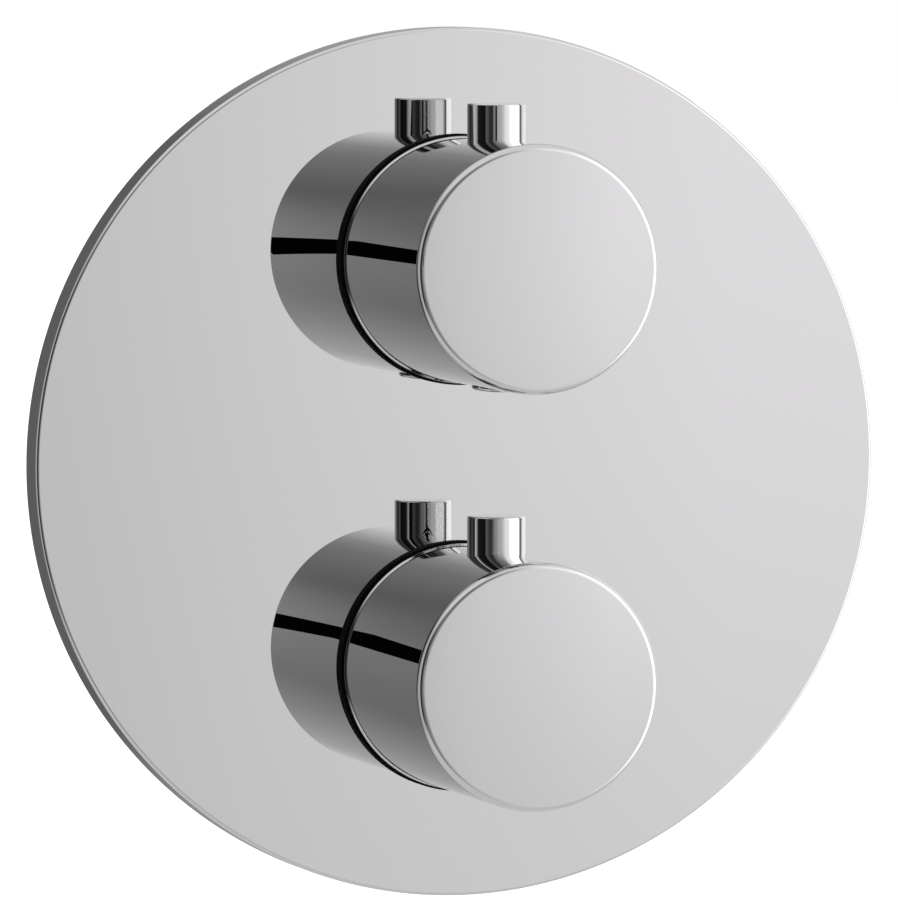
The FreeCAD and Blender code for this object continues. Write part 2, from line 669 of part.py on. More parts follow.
def spindle_seals(z):
    """Rubber rings that turn with a spindle inside the neck's bore."""
    half = SPINDLE_SEAL_SECTION / 2
    rings = []
    for offset in SPINDLE_SEAL_OFFSETS:
        centre = vector(0, NECK_FRONT_Y + offset, z)
        rings.append(Part.makeTorus(JOURNAL_RADIUS + SEAT_FIT - half, half, centre, vector(0, 1, 0)))
    return Part.makeCompound(rings)


def circlip(z):
    """Open spring ring that keeps a spindle in its neck."""
    rear = NECK_FRONT_Y - CIRCLIP_PLAY
    inner = JOURNAL_RADIUS - CIRCLIP_GROOVE + SEAT_FIT
    return open_ring(CIRCLIP_RADIUS, inner, rear - CIRCLIP_WIDTH + SEAT_FIT, rear - SEAT_FIT, z)


def cartridge_neck(z, rear):
    """Long neck with the journal's bore, and the wider part inside the tower."""
    neck = rod_y(NECK_RADIUS, NECK_FRONT_Y, BONNET_REAR_Y, z)
    body = rod_y(CARTRIDGE_RADIUS, BONNET_REAR_Y, rear, z)
    journal = rod_y(JOURNAL_RADIUS + RUNNING_FIT, NECK_FRONT_Y, COLLAR_FRONT_Y, z)
    groove = oring_groove(BORE_RADIUS - ORING_SQUEEZE, first_seal_y(), z)
    return cut_all(joined(neck, body), [journal, groove])


# ------------------------------------------------------ thermostatic cartridge
def thermostat_housing():
    """Front half of the cartridge: neck, plunger bore and key way."""
    z = UPPER_Z
    housing = cartridge_neck(z, SEAT_FRONT_Y)
    bore = rod_y(NECK_BORE_RADIUS, COLLAR_FRONT_Y - 0.2, SEAT_FRONT_Y, z)
    half = KEY_WIDTH / 2 + KEY_FIT
    top = z + COLLAR_RADIUS + KEY_HEIGHT + LOOSE_FIT
    way = block(-half, half, SEAT_FRONT_Y - KEY_WAY_LENGTH, SEAT_FRONT_Y, z, top)
    ring_rear = STOP_RING_FRONT_Y + STOP_RING_DEPTH + SEAT_FIT
    ring_half = KEY_WIDTH / 2 + SEAT_FIT
    ring_front = STOP_RING_FRONT_Y - STOP_CLEARANCE
    notch_floor = z + NECK_RADIUS - STOP_KEY_HEIGHT - SEAT_FIT
    notch = block(-ring_half, ring_half, ring_front, ring_rear, notch_floor, z + NECK_RADIUS + 1)
    return cut_all(housing, [bore, way, notch])


def temperature_spindle():
    """Spindle with the screw that drives the plunger."""
    screw = rod_y(THREAD_RADIUS, COLLAR_REAR_Y, COLLAR_REAR_Y + THREAD_LENGTH, UPPER_Z)
    return joined(spindle_front(UPPER_Z), screw)


def thermostat_plunger():
    """Keyed nut on the spindle's screw, with the cup of the overload spring."""
    z = UPPER_Z
    body = rod_y(COLLAR_RADIUS, PLUNGER_FRONT_Y, PLUNGER_REAR_Y, z)
    half = KEY_WIDTH / 2
    key = block(-half, half, PLUNGER_REAR_Y - KEY_LENGTH, PLUNGER_REAR_Y, z, z + COLLAR_RADIUS + KEY_HEIGHT)
    thread = rod_y(THREAD_RADIUS + RUNNING_FIT, PLUNGER_FRONT_Y, PLUNGER_FRONT_Y + PLUNGER_THREAD_DEPTH, z)
    cup = rod_y(PLUNGER_CUP_RADIUS, cup_floor_y(), PLUNGER_REAR_Y, z)
    clip = rod_y(PLUNGER_CUP_RADIUS + CUP_GROOVE, cap_rear_y(), cap_rear_y() + CIRCLIP_WIDTH, z)
    return cut_all(joined(body, key), [thread, cup, clip])


def cup_floor_y():
    """Floor of the plunger's cup."""
    return PLUNGER_FRONT_Y + PLUNGER_THREAD_DEPTH + PLUNGER_WEB


def cap_rear_y():
    """Rear face of the cap that the wax element's piston pushes."""
    return cup_floor_y() + OVERLOAD_SPRING_LENGTH + OVERLOAD_CAP_DEPTH


def overload_spring():
    """Stiff spring that gives way when the hot port is already shut."""
    base = vector(0, cup_floor_y(), UPPER_Z)
    return coil(
        OVERLOAD_SPRING_RADIUS,
        OVERLOAD_SPRING_WIRE,
        OVERLOAD_SPRING_LENGTH,
        OVERLOAD_SPRING_TURNS,
        base,
        vector(0, 1, 0),
    )


def overload_cap():
    """Cap between the overload spring and the element's piston."""
    return rod_y(PLUNGER_CUP_RADIUS - 0.1, cap_rear_y() - OVERLOAD_CAP_DEPTH, cap_rear_y(), UPPER_Z)


def overload_circlip():
    """Open ring that keeps the cap in the plunger's cup."""
    rear = cap_rear_y() + CIRCLIP_WIDTH - SEAT_FIT
    outer = PLUNGER_CUP_RADIUS + CUP_GROOVE - FOOT_FIT / 2
    return open_ring(outer, PLUNGER_CUP_RADIUS - CUP_CLIP_OVERLAP, cap_rear_y(), rear, UPPER_Z)


def wax_element():
    """Temperature sensor: piston, guide and wax cup."""
    piston_end = cap_rear_y() + ELEMENT_PISTON_LENGTH
    guide_end = piston_end + ELEMENT_GUIDE_LENGTH
    return joined(
        rod_y(ELEMENT_PISTON_RADIUS, cap_rear_y(), piston_end, UPPER_Z),
        rod_y(ELEMENT_GUIDE_RADIUS, piston_end, guide_end, UPPER_Z),
        rod_y(ELEMENT_RADIUS, guide_end, guide_end + ELEMENT_LENGTH, UPPER_Z),
    )


def shuttle_radius():
    """Outside of the shuttle, which slides in the seat tube."""
    return SEAT_TUBE_RADIUS - RUNNING_FIT


def mixing_shuttle():
    """Ring on the element that opens one port as it shuts the other."""
    z = UPPER_Z
    front = PORT_Y - SHUTTLE_LENGTH / 2
    rear = PORT_Y + SHUTTLE_LENGTH / 2
    rim = tube_y(shuttle_radius(), shuttle_radius() - SHUTTLE_RIM, front, rear, z)
    hub_inner = ELEMENT_RADIUS + SEAT_FIT
    spoke_front = PORT_Y - SHUTTLE_SPOKE_LENGTH / 2
    spoke_rear = PORT_Y + SHUTTLE_SPOKE_LENGTH / 2
    hub = tube_y(hub_inner + SHUTTLE_HUB_WALL, hub_inner, spoke_front, spoke_rear, z)
    reach = shuttle_radius() - SHUTTLE_RIM / 2
    half = SHUTTLE_SPOKE_WIDTH / 2
    cross = joined(
        block(-reach, reach, spoke_front, spoke_rear, z - half, z + half),
        block(-half, half, spoke_front, spoke_rear, z - reach, z + reach),
    ).cut(rod_y(hub_inner + SHUTTLE_HUB_WALL / 2, spoke_front, spoke_rear, z))
    groove_half = SHUTTLE_GROOVE_WIDTH / 2
    groove_inner = shuttle_radius() - SHUTTLE_RING_DEPTH
    groove = tube_y(SEAT_TUBE_RADIUS + 1, groove_inner, PORT_Y - groove_half, PORT_Y + groove_half, z)
    return joined(rim, hub, cross).cut(groove)


def shuttle_seal():
    """Square rubber ring in the shuttle's groove."""
    half = SHUTTLE_GROOVE_WIDTH / 2 - SEAT_FIT
    inner = shuttle_radius() - SHUTTLE_RING_DEPTH + SEAT_FIT
    return tube_y(SEAT_TUBE_RADIUS - SEAT_FIT, inner, PORT_Y - half, PORT_Y + half, UPPER_Z)


def window_span(side):
    """Front and rear stations of the hot (-1) or cold (+1) window."""
    near = PORT_Y + side * WINDOW_OFFSET
    far = near + side * WINDOW_WIDTH
    return min(near, far), max(near, far)


def thermostat_seat():
    """Rear half of the cartridge, with the ports that the shuttle meters."""
    z = UPPER_Z
    tube = tube_y(CARTRIDGE_RADIUS, SEAT_TUBE_RADIUS, SEAT_FRONT_Y, CHAMBER_FRONT_Y, z)
    end = tube_y(CARTRIDGE_RADIUS, SEAT_OUTLET_RADIUS, CHAMBER_FRONT_Y - SEAT_END_WALL, CHAMBER_FRONT_Y, z)
    seat = joined(tube, end)
    reach = CARTRIDGE_RADIUS + 1
    half = WINDOW_HALF_SPAN
    for side in (-1, 1):
        front, rear = window_span(side)
        seat = seat.cut(block(-reach, reach, front, rear, z - half, z + half))
        seat = seat.cut(block(-half, half, front, rear, z - reach, z + reach))
    for y in seat_seal_stations():
        seat = seat.cut(oring_groove(BORE_RADIUS - ORING_SQUEEZE, y, z))
    return seat


def seat_seal_stations():
    """Rings that part the hot, cold and mixed water."""
    return PORT_Y, CHAMBER_FRONT_Y - REAR_SEAL_OFFSET


def thermostat_seals():
    """All rings on the outside of the thermostatic cartridge."""
    rings = []
    for y in (first_seal_y(),) + seat_seal_stations():
        rings.append(oring(BORE_RADIUS - ORING_SQUEEZE, y, UPPER_Z))
    return Part.makeCompound(rings)


def return_spring():
    """Spring that pushes the shuttle and element back to the front."""
    front = PORT_Y + SHUTTLE_LENGTH / 2
    length = CHAMBER_FRONT_Y - SEAT_END_WALL - front
    base = vector(0, front, UPPER_Z)
    return coil(RETURN_SPRING_RADIUS, RETURN_SPRING_WIRE, length, RETURN_SPRING_TURNS, base, vector(0, 1, 0))


# --------------------------------------------------------- flow cartridge
def base_seal_front_y():
    """Front face of the rubber pad, where the fixed disc sits."""
    return FLOW_FLOOR_Y - BASE_SEAL_DEPTH


def fixed_disc_front_y():
    """Lapped face of the fixed disc."""
    return base_seal_front_y() - FIXED_DISC_DEPTH


def moving_disc_rear_y():
    """Lapped face of the moving disc."""
    return fixed_disc_front_y() - DISC_FACE_FIT


def moving_disc_front_y():
    """Face of the moving disc that the spindle's flange drives."""
    return moving_disc_rear_y() - DISC_DEPTH


def flow_housing():
    """Neck and disc chamber of the flow cartridge, with its turning stop."""
    z = LOWER_Z
    rear = FLOW_FLOOR_Y - FLOW_HOUSING_GAP
    housing = cartridge_neck(z, rear)
    shaft = rod_y(NECK_BORE_RADIUS, COLLAR_FRONT_Y - 0.2, FLOW_BORE_FRONT_Y, z)
    chamber = rod_y(FLOW_BORE_RADIUS, FLOW_BORE_FRONT_Y, rear, z)
    housing = cut_all(housing, [shaft, chamber])
    half = DISC_EAR_WIDTH / 2 + DISC_EAR_FIT
    reach = DISC_RADIUS + DISC_EAR_HEIGHT + DISC_EAR_FIT
    ways = block(-reach, reach, fixed_disc_front_y() - DISC_EAR_FIT, rear, z - half, z + half)
    housing = housing.cut(ways)
    gap = FLOW_HALF_TURN + FLOW_TAB_HALF_ANGLE + FLOW_STOP_SLACK
    stop_rear = FLOW_BORE_FRONT_Y + FLOW_TAB_DEPTH
    stop = ring_sector(
        FLOW_BORE_RADIUS + 0.5,
        NECK_BORE_RADIUS,
        FLOW_BORE_FRONT_Y,
        stop_rear,
        z,
        90.0 + gap,
        450.0 - gap,
    )
    return joined(housing, stop)


def flow_spindle():
    """Spindle with its stop tab and the flange that turns the disc."""
    z = LOWER_Z
    flange_rear = moving_disc_front_y() - SEAT_FIT
    flange_front = flange_rear - FLOW_FLANGE_DEPTH
    shaft = rod_y(FLOW_SHAFT_RADIUS, COLLAR_REAR_Y, flange_front, z)
    flange = rod_y(DISC_RADIUS, flange_front, flange_rear, z)
    tab_front = FLOW_BORE_FRONT_Y + END_PLAY
    tab_rear = FLOW_BORE_FRONT_Y + FLOW_TAB_DEPTH
    tab = ring_sector(
        FLOW_TAB_RADIUS,
        FLOW_SHAFT_RADIUS - 1,
        tab_front,
        tab_rear,
        z,
        90.0 - FLOW_TAB_HALF_ANGLE,
        90.0 + FLOW_TAB_HALF_ANGLE,
    )
    pegs = []
    for x in (-DRIVE_PEG_CIRCLE, DRIVE_PEG_CIRCLE):
        pegs.append(rod_y(DRIVE_PEG_RADIUS, flange_rear, flange_rear + DRIVE_PEG_LENGTH, z, x))
    return joined(spindle_front(z), shaft, flange, tab, *pegs)


def flow_moving_disc():
    """Ceramic disc whose cavity links the feed with one outlet at a time."""
    z = LOWER_Z
    front = moving_disc_front_y()
    rear = moving_disc_rear_y()
    disc = rod_y(DISC_RADIUS, front, rear, z)
    cavity = ring_sector(
        DISC_HOLE_CIRCLE + DISC_HOLE_RADIUS,
        DISC_HOLE_CIRCLE - DISC_HOLE_RADIUS,
        rear - DISC_CAVITY_DEPTH,
        rear,
        z,
        90.0 - DISC_CAVITY_HALF_ANGLE,
        90.0 + DISC_CAVITY_HALF_ANGLE,
    )
    sockets = []
    for x in (-DRIVE_PEG_CIRCLE, DRIVE_PEG_CIRCLE):
        sockets.append(rod_y(DRIVE_PEG_RADIUS + SEAT_FIT, front, front + DRIVE_PEG_LENGTH + SEAT_FIT, z, x))
    return cut_all(disc, [cavity] + sockets)


def disc_holes(y0, y1):
    """The feed hole on top and the two outlet holes below."""
    holes = []
    for angle in DISC_HOLE_ANGLES:
        x, height = polar(DISC_HOLE_CIRCLE, angle)
        holes.append(rod_y(DISC_HOLE_RADIUS, y0, y1, LOWER_Z + height, x))
    return holes


def flow_fixed_disc():
    """Ceramic disc that is keyed in the housing by two ears."""
    z = LOWER_Z
    front = fixed_disc_front_y()
    rear = base_seal_front_y()
    half = DISC_EAR_WIDTH / 2
    reach = DISC_RADIUS + DISC_EAR_HEIGHT
    disc = joined(rod_y(DISC_RADIUS, front, rear, z), block(-reach, reach, front, rear, z - half, z + half))
    return cut_all(disc, disc_holes(front, rear))


def flow_base_seal():
    """Rubber pad between the fixed disc and the tower's floor."""
    pad = rod_y(DISC_RADIUS, base_seal_front_y(), FLOW_FLOOR_Y, LOWER_Z)
    return cut_all(pad, disc_holes(base_seal_front_y(), FLOW_FLOOR_Y))


def flow_seal():
    """Ring on the outside of the flow cartridge."""
    return oring(BORE_RADIUS - ORING_SQUEEZE, first_seal_y(), LOWER_Z)


# ------------------------------------------------------------- check valves
def check_cage(side):
    """Cage of a check valve: outer seat, tube and bridge with the stem's guide."""
    z = UPPER_Z
    tube = rod_x(CHECK_RADIUS, side * CHECK_INNER, side * CHECK_OUTER, PORT_Y, z)
    seat_inner = CHECK_OUTER - CHECK_SEAT_DEPTH
    bridge_outer = CHECK_INNER + CHECK_BRIDGE_DEPTH
    hollow = rod_x(CHECK_RADIUS - CHECK_WALL, side * CHECK_INNER, side * seat_inner, PORT_Y, z)
    mouth = rod_x(CHECK_SEAT_RADIUS, side * (seat_inner - 1), side * (CHECK_OUTER + 1), PORT_Y, z)
    low, high = sorted((side * CHECK_INNER, side * bridge_outer))
    reach = CHECK_RADIUS - CHECK_WALL / 2
    half = CHECK_SPOKE_WIDTH / 2
    bridge = joined(
        rod_x(CHECK_HUB_RADIUS, low, high, PORT_Y, z),
        block(low, high, PORT_Y - reach, PORT_Y + reach, z - half, z + half),
        block(low, high, PORT_Y - half, PORT_Y + half, z - reach, z + reach),
    )
    guide = rod_x(POPPET_STEM_RADIUS + RUNNING_FIT, low, high, PORT_Y, z)
    return joined(tube.cut(hollow).cut(mouth), bridge).cut(guide)


def check_poppet(side):
    """Disc and stem that close a check valve from inside."""
    face = CHECK_OUTER - CHECK_SEAT_DEPTH
    back = face - POPPET_DEPTH
    return joined(
        rod_x(POPPET_RADIUS, side * back, side * face, PORT_Y, UPPER_Z),
        rod_x(POPPET_STEM_RADIUS, side * (back - POPPET_STEM_LENGTH + 1), side * back, PORT_Y, UPPER_Z),
    )


def check_spring(side):
    """Light spring between the bridge and the poppet's disc."""
    start = CHECK_INNER + CHECK_BRIDGE_DEPTH
    length = CHECK_OUTER - CHECK_SEAT_DEPTH - POPPET_DEPTH - start
    base = vector(side * start, PORT_Y, UPPER_Z)
    return coil(CHECK_SPRING_RADIUS, CHECK_SPRING_WIRE, length, CHECK_SPRING_TURNS, base, vector(side, 0, 0))


def inlet_filter(side):
    """Rimmed strainer outside a check valve."""
    z = UPPER_Z
    rim = rod_x(CHECK_RADIUS, side * CHECK_OUTER, side * PORT_SHOULDER, PORT_Y, z)
    mesh_end = CHECK_OUTER + FILTER_MESH_DEPTH
    hollow = rod_x(CHECK_RADIUS - FILTER_RIM, side * mesh_end, side * (PORT_SHOULDER + 1), PORT_Y, z)
    strainer = rim.cut(hollow)
    holes = []
    for ring in range(FILTER_HOLE_RINGS + 1):
        count = max(1, 6 * ring)
        for i in range(count):
            y, height = polar(ring * FILTER_RING_STEP, 360.0 * i / count)
            ends = side * (CHECK_OUTER - 1), side * (mesh_end + 1)
            holes.append(rod_x(FILTER_HOLE_RADIUS, ends[0], ends[1], PORT_Y + y, z + height))
    return strainer.cut(Part.makeCompound(holes))


# ---------------------------------------------------------------- in-wall body
def body_outside():
    """Two towers, the port bosses, the spine between them and the fixing plate."""
    towers = [rod_y(TOWER_RADIUS, TOWER_FRONT_Y, BODY_REAR_Y, z) for z in (UPPER_Z, LOWER_Z)]
    bosses = [rod_x(PORT_BOSS_RADIUS, -PORT_REACH, PORT_REACH, PORT_Y, z) for z in (UPPER_Z, LOWER_Z)]
    hexagons = []
    for z in (UPPER_Z, LOWER_Z):
        for side in (-1, 1):
            inner = side * (PORT_REACH - PORT_HEX_LENGTH)
            hexagons.append(hexagon_x(PORT_HEX_FLATS, inner, side * PORT_REACH, PORT_Y, z))
    half = SPINE_WIDTH / 2
    spine_front = CHANNEL_Y - CHANNEL_RADIUS - CHANNEL_WALL
    spine = block(-half, half, spine_front, BODY_REAR_Y, LOWER_Z, UPPER_Z)
    width = LUG_PLATE_WIDTH / 2
    height = LUG_PLATE_HEIGHT / 2
    plate = block(-width, width, BODY_REAR_Y - LUG_PLATE_DEPTH, BODY_REAR_Y, -height, height)
    corners = [e for e in plate.Edges if abs(e.tangentAt(e.FirstParameter).y) > 0.99]
    plate = plate.makeFillet(LUG_CORNER, corners)
    return joined(*towers, *bosses, *hexagons, spine, plate)


def tower_cuts():
    """The bores that take the cartridges and the mixing chamber."""
    skirt = BONNET_SKIRT_RADIUS + THREAD_FIT
    cuts = []
    for z, floor in ((UPPER_Z, CHAMBER_FRONT_Y), (LOWER_Z, FLOW_FLOOR_Y)):
        cuts.append(rod_y(skirt, TOWER_FRONT_Y, BONNET_REAR_Y, z))
        cuts.append(rod_y(BORE_RADIUS, TOWER_FRONT_Y, floor, z))
    cuts.append(rod_y(CHAMBER_RADIUS, CHAMBER_FRONT_Y, BODY_REAR_Y - BODY_REAR_WALL, UPPER_Z))
    return cuts


def inlet_cuts(side):
    """Thread, check valve bore and water way of the hot (-1) or cold (+1) inlet."""
    z = UPPER_Z
    front, rear = window_span(side)
    annulus = tube_y(ANNULUS_RADIUS, BORE_RADIUS - 1, front - ANNULUS_MARGIN, rear + ANNULUS_MARGIN, z)
    plenum = CHECK_INNER - PLENUM_DEPTH
    low, high = sorted((side * BORE_RADIUS, side * (plenum + 1)))
    return [
        rod_x(PORT_THREAD_RADIUS, side * PORT_SHOULDER, side * (PORT_REACH + 1), PORT_Y, z),
        rod_x(CHECK_RADIUS + SEAT_FIT, side * CHECK_INNER, side * PORT_SHOULDER, PORT_Y, z),
        rod_x(CHECK_RADIUS - CHECK_LEDGE, side * plenum, side * CHECK_INNER, PORT_Y, z),
        block(low, high, front, rear, z - INLET_WAY_HALF_HEIGHT, z + INLET_WAY_HALF_HEIGHT),
        annulus,
    ]


def outlet_cuts(side):
    """Thread and passage of the left (-1) or right (+1) outlet."""
    passage_y = PORT_Y + OUTLET_PASSAGE_SHIFT
    passage_z = LOWER_Z - OUTLET_PASSAGE_SHIFT
    start = side * OUTLET_PASSAGE_WALL / 2
    return [
        rod_x(PORT_THREAD_RADIUS, side * PORT_SHOULDER, side * (PORT_REACH + 1), PORT_Y, LOWER_Z),
        rod_x(OUTLET_PASSAGE_RADIUS, start, side * (PORT_SHOULDER + 1), passage_y, passage_z),
    ]


def valve_body():
    """Brass body that is buried in the wall."""
    body = cut_all(body_outside(), tower_cuts())
    for side in (-1, 1):
        body = cut_all(body, inlet_cuts(side) + outlet_cuts(side))
    feed = disc_holes(FLOW_FLOOR_Y, CHANNEL_Y)[0]
    outlets = disc_holes(FLOW_FLOOR_Y, PORT_Y + OUTLET_PASSAGE_SHIFT)[1:]
    feed_z = LOWER_Z + DISC_HOLE_CIRCLE - DISC_HOLE_RADIUS
    channel = rod_z(CHANNEL_RADIUS, feed_z, UPPER_Z - CHAMBER_RADIUS / 2, CHANNEL_Y)
    body = cut_all(body, [feed, channel] + outlets)
    for x in (-LUG_SPACING_X / 2, LUG_SPACING_X / 2):
        for z in (-LUG_SPACING_Z / 2, LUG_SPACING_Z / 2):
            body = body.cut(rod_y(LUG_HOLE_RADIUS, BODY_REAR_Y - LUG_PLATE_DEPTH - 1, BODY_REAR_Y + 1, z, x))
    return body


# --------------------------------------------------------------------- output
def pieces():
    """Every separate piece of the valve by name."""
    parts = {
        "cover_plate": cover_plate(),
        "plate_gasket": plate_gasket(),
        "upper_sleeve": sleeve(UPPER_Z),
        "lower_sleeve": sleeve(LOWER_Z),
        "sleeve_seals": sleeve_seals(),
        "temperature_base_ring": base_ring(UPPER_Z),
        "flow_base_ring": base_ring(LOWER_Z),
        "temperature_knob": temperature_knob(),
        "temperature_lever_pin": lever_pin(UPPER_Z),
        "temperature_adaptor": temperature_adaptor(),
        "temperature_grub_screw": grub_screw(UPPER_Z),
        "safety_button": safety_button(),
        "safety_button_spring": safety_button_spring(),
        "temperature_stop_ring": temperature_stop_ring(),
        "flow_knob": knob(LOWER_Z),
        "flow_lever_pin": lever_pin(LOWER_Z),
        "flow_adaptor": adaptor(LOWER_Z),
        "flow_grub_screw": grub_screw(LOWER_Z),
        "thermostat_bonnet": bonnet(UPPER_Z),
        "thermostat_housing": thermostat_housing(),
        "temperature_spindle": temperature_spindle(),
        "temperature_spindle_circlip": circlip(UPPER_Z),
        "temperature_spindle_seals": spindle_seals(UPPER_Z),
        "thermostat_plunger": thermostat_plunger(),
        "overload_spring": overload_spring(),
        "overload_cap": overload_cap(),
        "overload_circlip": overload_circlip(),
        "wax_element": wax_element(),
        "mixing_shuttle": mixing_shuttle(),
        "shuttle_seal": shuttle_seal(),
        "thermostat_seat": thermostat_seat(),
        "thermostat_seals": thermostat_seals(),
        "return_spring": return_spring(),
        "flow_bonnet": bonnet(LOWER_Z),
        "flow_housing": flow_housing(),
        "flow_spindle": flow_spindle(),
        "flow_spindle_circlip": circlip(LOWER_Z),
        "flow_spindle_seals": spindle_seals(LOWER_Z),
        "flow_moving_disc": flow_moving_disc(),
        "flow_fixed_disc": flow_fixed_disc(),
        "flow_base_seal": flow_base_seal(),
        "flow_seal": flow_seal(),
        "valve_body": valve_body(),
    }
    for side, name in ((-1, "hot"), (1, "cold")):
        parts[name + "_check_cage"] = check_cage(side)
        parts[name + "_check_poppet"] = check_poppet(side)
        parts[name + "_check_spring"] = check_spring(side)
        parts[name + "_inlet_filter"] = inlet_filter(side)
    return parts


os.makedirs("parts", exist_ok=True)
for node, shape in pieces().items():
    shape.exportStep("parts/" + node + ".step")
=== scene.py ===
"""Concealed thermostatic shower valve: its finishes, its finest details and the studio round it.

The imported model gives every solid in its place. This script dresses each one, adds the details that
are finer than the solids, and sets up the camera and the studio whose cloths the chrome shows.
Lengths are metres. The origin is the centre of the cover plate's back edge on the wall, with +X to
the right, +Y into the wall and +Z up.
"""

from __future__ import annotations

import json
import logging
import math
from dataclasses import dataclass
from enum import Enum

import bmesh
import bpy
from mathutils import Matrix, Vector


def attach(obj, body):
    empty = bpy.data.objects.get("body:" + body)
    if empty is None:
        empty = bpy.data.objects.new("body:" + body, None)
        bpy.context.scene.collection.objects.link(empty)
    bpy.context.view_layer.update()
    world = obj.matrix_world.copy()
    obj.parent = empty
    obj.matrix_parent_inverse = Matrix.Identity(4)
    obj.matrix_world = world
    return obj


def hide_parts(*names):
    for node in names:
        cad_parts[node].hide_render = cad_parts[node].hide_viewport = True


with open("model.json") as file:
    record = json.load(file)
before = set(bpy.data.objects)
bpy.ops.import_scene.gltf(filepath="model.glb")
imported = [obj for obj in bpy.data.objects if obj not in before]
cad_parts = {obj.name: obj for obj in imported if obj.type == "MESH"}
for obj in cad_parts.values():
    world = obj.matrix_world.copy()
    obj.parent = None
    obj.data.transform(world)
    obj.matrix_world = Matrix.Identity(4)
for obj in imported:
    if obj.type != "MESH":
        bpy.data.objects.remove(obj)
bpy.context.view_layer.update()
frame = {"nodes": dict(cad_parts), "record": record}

MM = 0.001
LOG = logging.getLogger("shower_valve")
Colour = tuple[float, float, float, float]
Pairs = tuple[tuple[float, float], ...]

TRIM = "trim_"  # a piece so named stands for the solid whose name follows
UPPER = 39.75 * MM  # height of the temperature knob's axis
LOWER = -39.75 * MM  # height of the flow knob's axis
WHITE: Colour = (1.0, 1.0, 1.0, 1.0)
WAVE_LENGTH = 0.314  # a Wave Texture at scale 1 repeats after so many metres
ROLL_STEP = 3.0  # degrees between the facets of a rolled edge
ROLL_STEPS_MIN = 6
OVERCUT = 1.0 * MM  # how far a cutter reaches past the surface that it cuts
MERGE = 1e-6  # points nearer than this are one
SHARP = math.radians(20)  # an edge that turns the surface further is drawn sharp


def linear(code: str) -> Colour:
    """Turn an sRGB hex colour into linear light.

    Args:
        code: Six hex digits with a leading hash.

    Returns:
        Red, green, blue and an alpha of one.
    """
    channels = [int(code[i : i + 2], 16) / 255 for i in (1, 3, 5)]
    light = [c / 12.92 if c <= 0.04045 else ((c + 0.055) / 1.055) ** 2.4 for c in channels]
    return (light[0], light[1], light[2], 1.0)


def add_node(tree: bpy.types.NodeTree, kind: str, inputs: dict | None = None, **settings) -> bpy.types.Node:
    """Add a shader node, set it up and link it.

    Args:
        tree: The node tree that takes the node.
        kind: Blender's name of the node type.
        inputs: Socket name or number to a plain value, or to the output socket that feeds it.
        **settings: Attributes of the node itself.

    Returns:
        The new node.
    """
    node = tree.nodes.new(kind)
    for name, value in settings.items():
        setattr(node, name, value)
    for key, value in (inputs or {}).items():
        if isinstance(value, bpy.types.NodeSocket):
            tree.links.new(value, node.inputs[key])
        else:
            node.inputs[key].default_value = value
    return node


def fill_ramp(node: bpy.types.Node, stops: list[tuple[float, Colour]]) -> None:
    """Give a Color Ramp node its stops.

    Args:
        node: The ramp.
        stops: Places from 0 to 1, rising, each with its colour.
    """
    elements = node.color_ramp.elements
    while len(elements) > 1:
        elements.remove(elements[-1])
    elements[0].position, elements[0].color = stops[0]
    for place, colour in stops[1:]:
        elements.new(place).color = colour


def blank_tree(owner: bpy.types.Material | bpy.types.World) -> bpy.types.NodeTree:
    """Empty the node tree of a material or a world.

    Args:
        owner: The material or the world.

    Returns:
        Its tree.
    """
    owner.use_nodes = True
    owner.node_tree.nodes.clear()
    return owner.node_tree


def new_material(name: str) -> tuple[bpy.types.Material, bpy.types.NodeTree, bpy.types.Node]:
    """Start a material with an empty tree but for a Principled shader and its output.

    Args:
        name: The material's name.

    Returns:
        The material, its tree and the Principled node.
    """
    material = bpy.data.materials.new(name)
    tree = blank_tree(material)
    shader = add_node(tree, "ShaderNodeBsdfPrincipled")
    add_node(tree, "ShaderNodeOutputMaterial", {"Surface": shader.outputs[0]})
    return material, tree, shader


# ------------------------------------------------------------------ finishes
@dataclass(frozen=True)
class PolishedChrome:
    """Bright chromium over buffed brass.

    The eye reads it as a mirror that keeps two thirds of the light, with a breath of haze in places
    and the long, very shallow waves that a buffing wheel leaves.
    """

    tint: str = "#D4D4D4"
    haze_low: float = 0.002
    haze_high: float = 0.007
    haze_patch: float = 14 * MM
    patch_ends: tuple[float, float] = (0.35, 0.7)  # noise levels where haze starts and is full
    buffing_wave: float = 12 * MM
    wave_height: float = 0.001 * MM

    def material(self, name: str) -> bpy.types.Material:
        """Build the chrome with its haze and its buffing waves.

        Args:
            name: The material's name.

        Returns:
            The finished material.
        """
        material, tree, shader = new_material(name)
        place = add_node(tree, "ShaderNodeTexCoord").outputs["Object"]
        haze = add_node(
            tree, "ShaderNodeTexNoise", {"Vector": place, "Scale": 1 / self.haze_patch, "Detail": 3.0}
        )
        low, high = self.patch_ends
        spread = add_node(
            tree,
            "ShaderNodeMapRange",
            {0: haze.outputs[0], 1: low, 2: high, 3: self.haze_low, 4: self.haze_high},
        )
        wave = add_node(
            tree, "ShaderNodeTexNoise", {"Vector": place, "Scale": 1 / self.buffing_wave, "Detail": 1.0}
        )
        bump = add_node(
            tree,
            "ShaderNodeBump",
            {"Height": wave.outputs[0], "Distance": self.wave_height, "Strength": 1.0},
        )
        shader.inputs["Metallic"].default_value = 1.0
        shader.inputs["Base Color"].default_value = linear(self.tint)
        tree.links.new(spread.outputs[0], shader.inputs["Roughness"])
        tree.links.new(bump.outputs[0], shader.inputs["Normal"])
        return material


